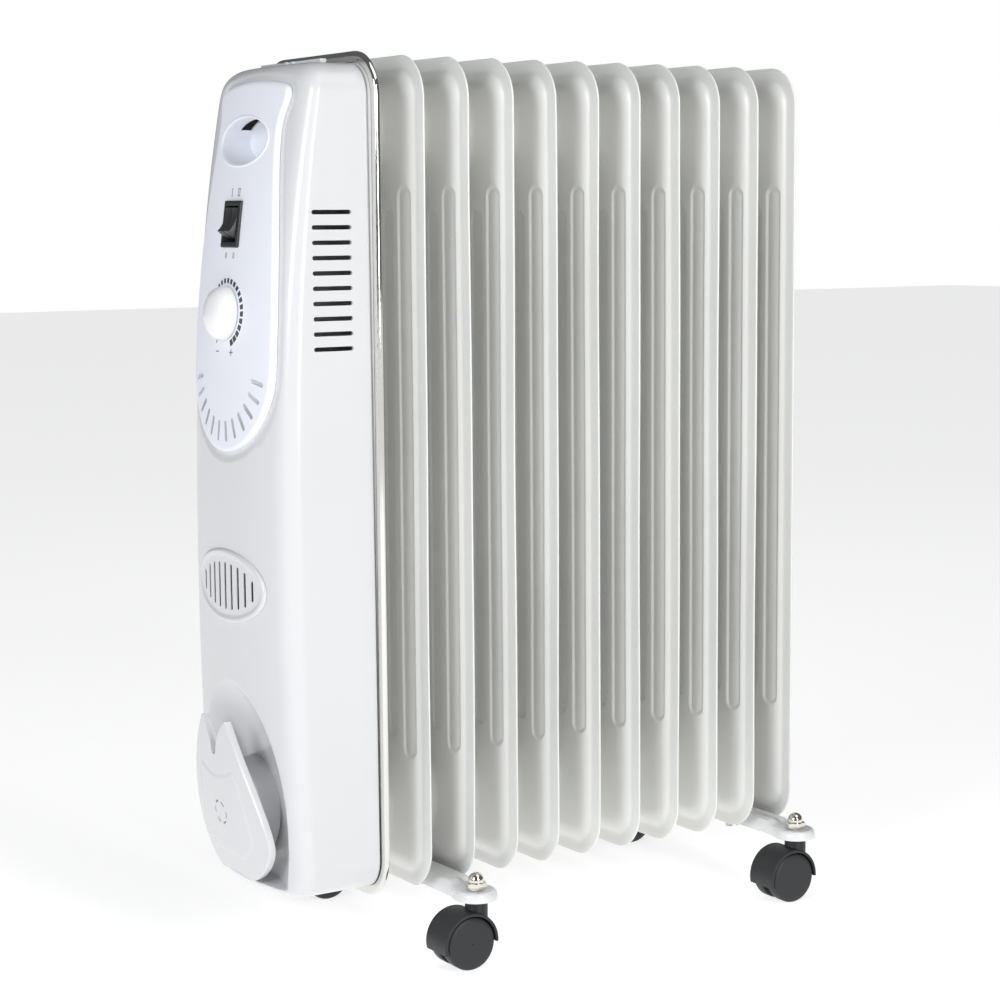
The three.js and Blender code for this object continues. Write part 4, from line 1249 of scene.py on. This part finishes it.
def make_hood(tag, x, y):
    half = WHEEL_INNER + WHEEL_WIDTH
    centre = (x - WHEEL_TRAIL, y, WHEEL_RADIUS)
    outer = turned([(HOOD_RADIUS - 0.6, -half), (HOOD_RADIUS, -half + 0.6),
                    (HOOD_RADIUS, half - 0.6), (HOOD_RADIUS - 0.6, half)], "y", 96, centre)
    obj = raw_object(f"hood_{tag}", outer)
    side = WHEEL_INNER - 0.4
    for low, high in ((-half - 1, -side), (side, half + 1)):
        bore = turned([(HOOD_INNER, low), (HOOD_INNER, high)], "y", 96, centre)
        combine(obj, bore, "DIFFERENCE")
    wx = centre[0]
    below = [(wx - 40, -40), (wx - 40, 13.5), (wx - 16, 14.5), (wx + 4, 17)]
    below += [tuple(p) for p in bezier([(wx + 4, 17), (wx + 8, 18.9), (wx + 12, 19)], 8)]
    below += [(wx + 40, WHEEL_RADIUS - 1), (wx + 40, -40)]
    combine(obj, prism(below, y - half - 1, y + half + 1, "y"), "DIFFERENCE")
    low, high = box_mm(f"caster_hood_{tag}")
    neck = turned([(8.6, WHEEL_RADIUS + 8), (8.6, high[2] - 0.5), (8.1, high[2])], "z", 56,
                  (x, y, 0))
    neck_obj = raw_object("neck", neck)
    combine(neck_obj, turned([(HOOD_INNER + 0.05, -half - 1), (HOOD_INNER + 0.05, half + 1)],
                             "y", 96, centre), "DIFFERENCE")
    merge(obj, neck_obj, "UNION")
    axle = turned([(3, -half + 1.6), (3, half - 1.6)], "y", 32, centre)
    combine(obj, axle, "UNION")
    combine(obj, turned([(4.3, 39.7), (4.3, 80)], "z", 32, (x, y, 0)), "DIFFERENCE")
    bevelled(obj, 0.35, 2, angle=45)
    finished(obj, caster_plastic, body=f"caster_{tag}",
             replaces=[f"caster_hood_{tag}"], smooth=34)


def make_wheel(tag, which, side, x, y):
    """A wheel with a smooth tread, a chamfered rim and a slightly domed face."""
    inner = y + side * WHEEL_INNER
    r = WHEEL_RADIUS
    w = WHEEL_WIDTH
    profile = [(3.3, 0), (r - 4, 0), (r - 3.4, 0.4), (r - 0.8, 0.4), (r - 0.2, 0.8), (r, 1.4),
               (r, w - 2.4), (r - 0.5, w - 1.2), (r - 1.6, w - 0.45), (r - 3.2, w - 0.1),
               (r - 6, w), (10, w + 0.15), (3.6, w + 0.2), (0.4, w + 0.2), (0.4, w - 1.4),
               (3.3, w - 1.4)]
    rings = [(radius, inner + side * along) for radius, along in profile]
    part = turned(rings, "y", 96, (x - WHEEL_TRAIL, 0, WHEEL_RADIUS), hollow=True)
    obj = raw_object(f"wheel_{which}_{tag}", part)
    finished(obj, caster_plastic, body=f"wheel_{which}_{tag}",
             replaces=[f"caster_wheel_{which}_{tag}"], smooth=30)


STEM_OFFSET = 4.3


def make_feet():
    for place, gap_index in (("front", 1.5), ("rear", 9.5)):
        bolt_x = gap_index * FIN_PITCH
        stem_x = bolt_x + STEM_OFFSET
        make_bracket(place, stem_x)
        make_u_bolt(place, bolt_x)
        for name, side in (("near", -1), ("far", 1)):
            tag = f"{place}_{name}"
            make_wing_nut(tag, bolt_x, side * U_BOLT_RADIUS)
            make_dome_nut(tag, stem_x, side * STEM_SIDE)
            make_hood(tag, stem_x, side * STEM_SIDE)
            make_wheel(tag, "outer", side, stem_x, side * STEM_SIDE)
            make_wheel(tag, "inner", -side, stem_x, side * STEM_SIDE)


# ---- inner pieces that keep their CAD shape --------------------------------------------
def dress_inner_pieces():
    finishes = {"element_plug": zinc, "heating_element": copper, "heat_shield": zinc,
                "thermostat_spindle": zinc, "thermostat_body": cream,
                "terminal_block": cream, "thermal_cutout": zinc}
    for place in ("front", "rear"):
        for name in ("near", "far"):
            finishes[f"caster_stem_{place}_{name}"] = zinc
    for node, material in finishes.items():
        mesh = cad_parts[node].data
        mesh.materials.clear()
        mesh.materials.append(material)


# ---- floor, light and camera -----------------------------------------------------------
def make_floor():
    """A pale sweep that glows a little, so that it stays close to the white backdrop."""
    mesh = bpy.data.meshes.new("floor")
    reach = 12
    mesh.from_pydata([(-reach, -reach, 0), (reach, -reach, 0), (reach, reach, 0),
                      (-reach, reach, 0)], [], [(0, 1, 2, 3)])
    floor = bpy.data.objects.new("floor", mesh)
    scene.collection.objects.link(floor)
    pale = surface("floor_pale", (0.55, 0.55, 0.55), 0.8, grain=60, bump=0.01, tint=0.004)
    shader = pale.node_tree.nodes["Principled BSDF"]
    shader.inputs["Emission Color"].default_value = (1, 1, 1, 1)
    shader.inputs["Emission Strength"].default_value = 0.75
    mesh.materials.append(pale)


def area_light(name, place, aim, size, power, colour):
    light = bpy.data.lights.new(name, "AREA")
    light.shape = "RECTANGLE"
    light.size, light.size_y = size
    light.energy = power
    light.color = colour
    obj = bpy.data.objects.new(name, light)
    obj.location = place
    obj.rotation_euler = (Vector(aim) - Vector(place)).to_track_quat("-Z", "Y").to_euler()
    scene.collection.objects.link(obj)


def make_lights():
    """Softboxes before the box's front and on the near side, in a dim room, white behind."""
    world = bpy.data.worlds.new("studio")
    scene.world = world
    world.use_nodes = True
    nodes, links = world.node_tree.nodes, world.node_tree.links
    room = nodes["Background"]
    room.inputs["Color"].default_value = (0.95, 0.97, 1, 1)
    room.inputs["Strength"].default_value = 0.12
    backdrop = nodes.new("ShaderNodeBackground")
    path = nodes.new("ShaderNodeLightPath")
    mix = nodes.new("ShaderNodeMixShader")
    links.new(path.outputs["Is Camera Ray"], mix.inputs["Fac"])
    links.new(room.outputs["Background"], mix.inputs[1])
    links.new(backdrop.outputs["Background"], mix.inputs[2])
    links.new(mix.outputs["Shader"], nodes["World Output"].inputs["Surface"])
    backdrop.inputs["Color"].default_value = (1, 1, 1, 1)
    aim = (0, 0, 0.35)
    area_light("front", (-2.75, -1.05, 1.4), aim, (1.0, 1.5), 40, (0.94, 0.965, 1.0))
    area_light("near_side", (0.1, -2.9, 1.2), aim, (0.4, 1.8), 38, (1.0, 0.995, 0.98))
    area_light("overhead", (0.5, -0.9, 2.5), aim, (1.6, 1.6), 12, (1.0, 1.0, 1.0))
    scene.view_settings.view_transform = "Standard"


def make_camera():
    yaw, pitch, roll = (math.radians(a) for a in (57.2388, 6.9353, -0.41168))
    forward = Vector((math.cos(pitch) * math.cos(yaw), math.cos(pitch) * math.sin(yaw),
                      -math.sin(pitch)))
    right = Vector((math.sin(yaw), -math.cos(yaw), 0))
    up = right.cross(forward)
    turned_right = right * math.cos(roll) + up * math.sin(roll)
    turned_up = up * math.cos(roll) - right * math.sin(roll)
    camera = bpy.data.objects.new("camera", bpy.data.cameras.new("camera"))
    camera.data.lens = 83.53
    camera.data.sensor_width = 36
    camera.data.clip_end = 100
    axes = Matrix((turned_right, turned_up, -forward)).transposed().to_4x4()
    place = Vector(to_row([-831.39, -1535.12, 553.31]))
    camera.matrix_world = Matrix.Translation(place) @ axes
    scene.collection.objects.link(camera)
    scene.camera = camera


make_camera()
make_fins()
make_filler_plug()
make_trim_ring()
make_housing()
make_fascia()
make_vent()
make_grip()
make_top_strip()
make_plate()
make_hub()
make_gland()
make_switch()
make_rocker("left")
make_rocker("right")
make_knob()
make_marks()
make_feet()
dress_inner_pieces()
make_floor()
make_lights()
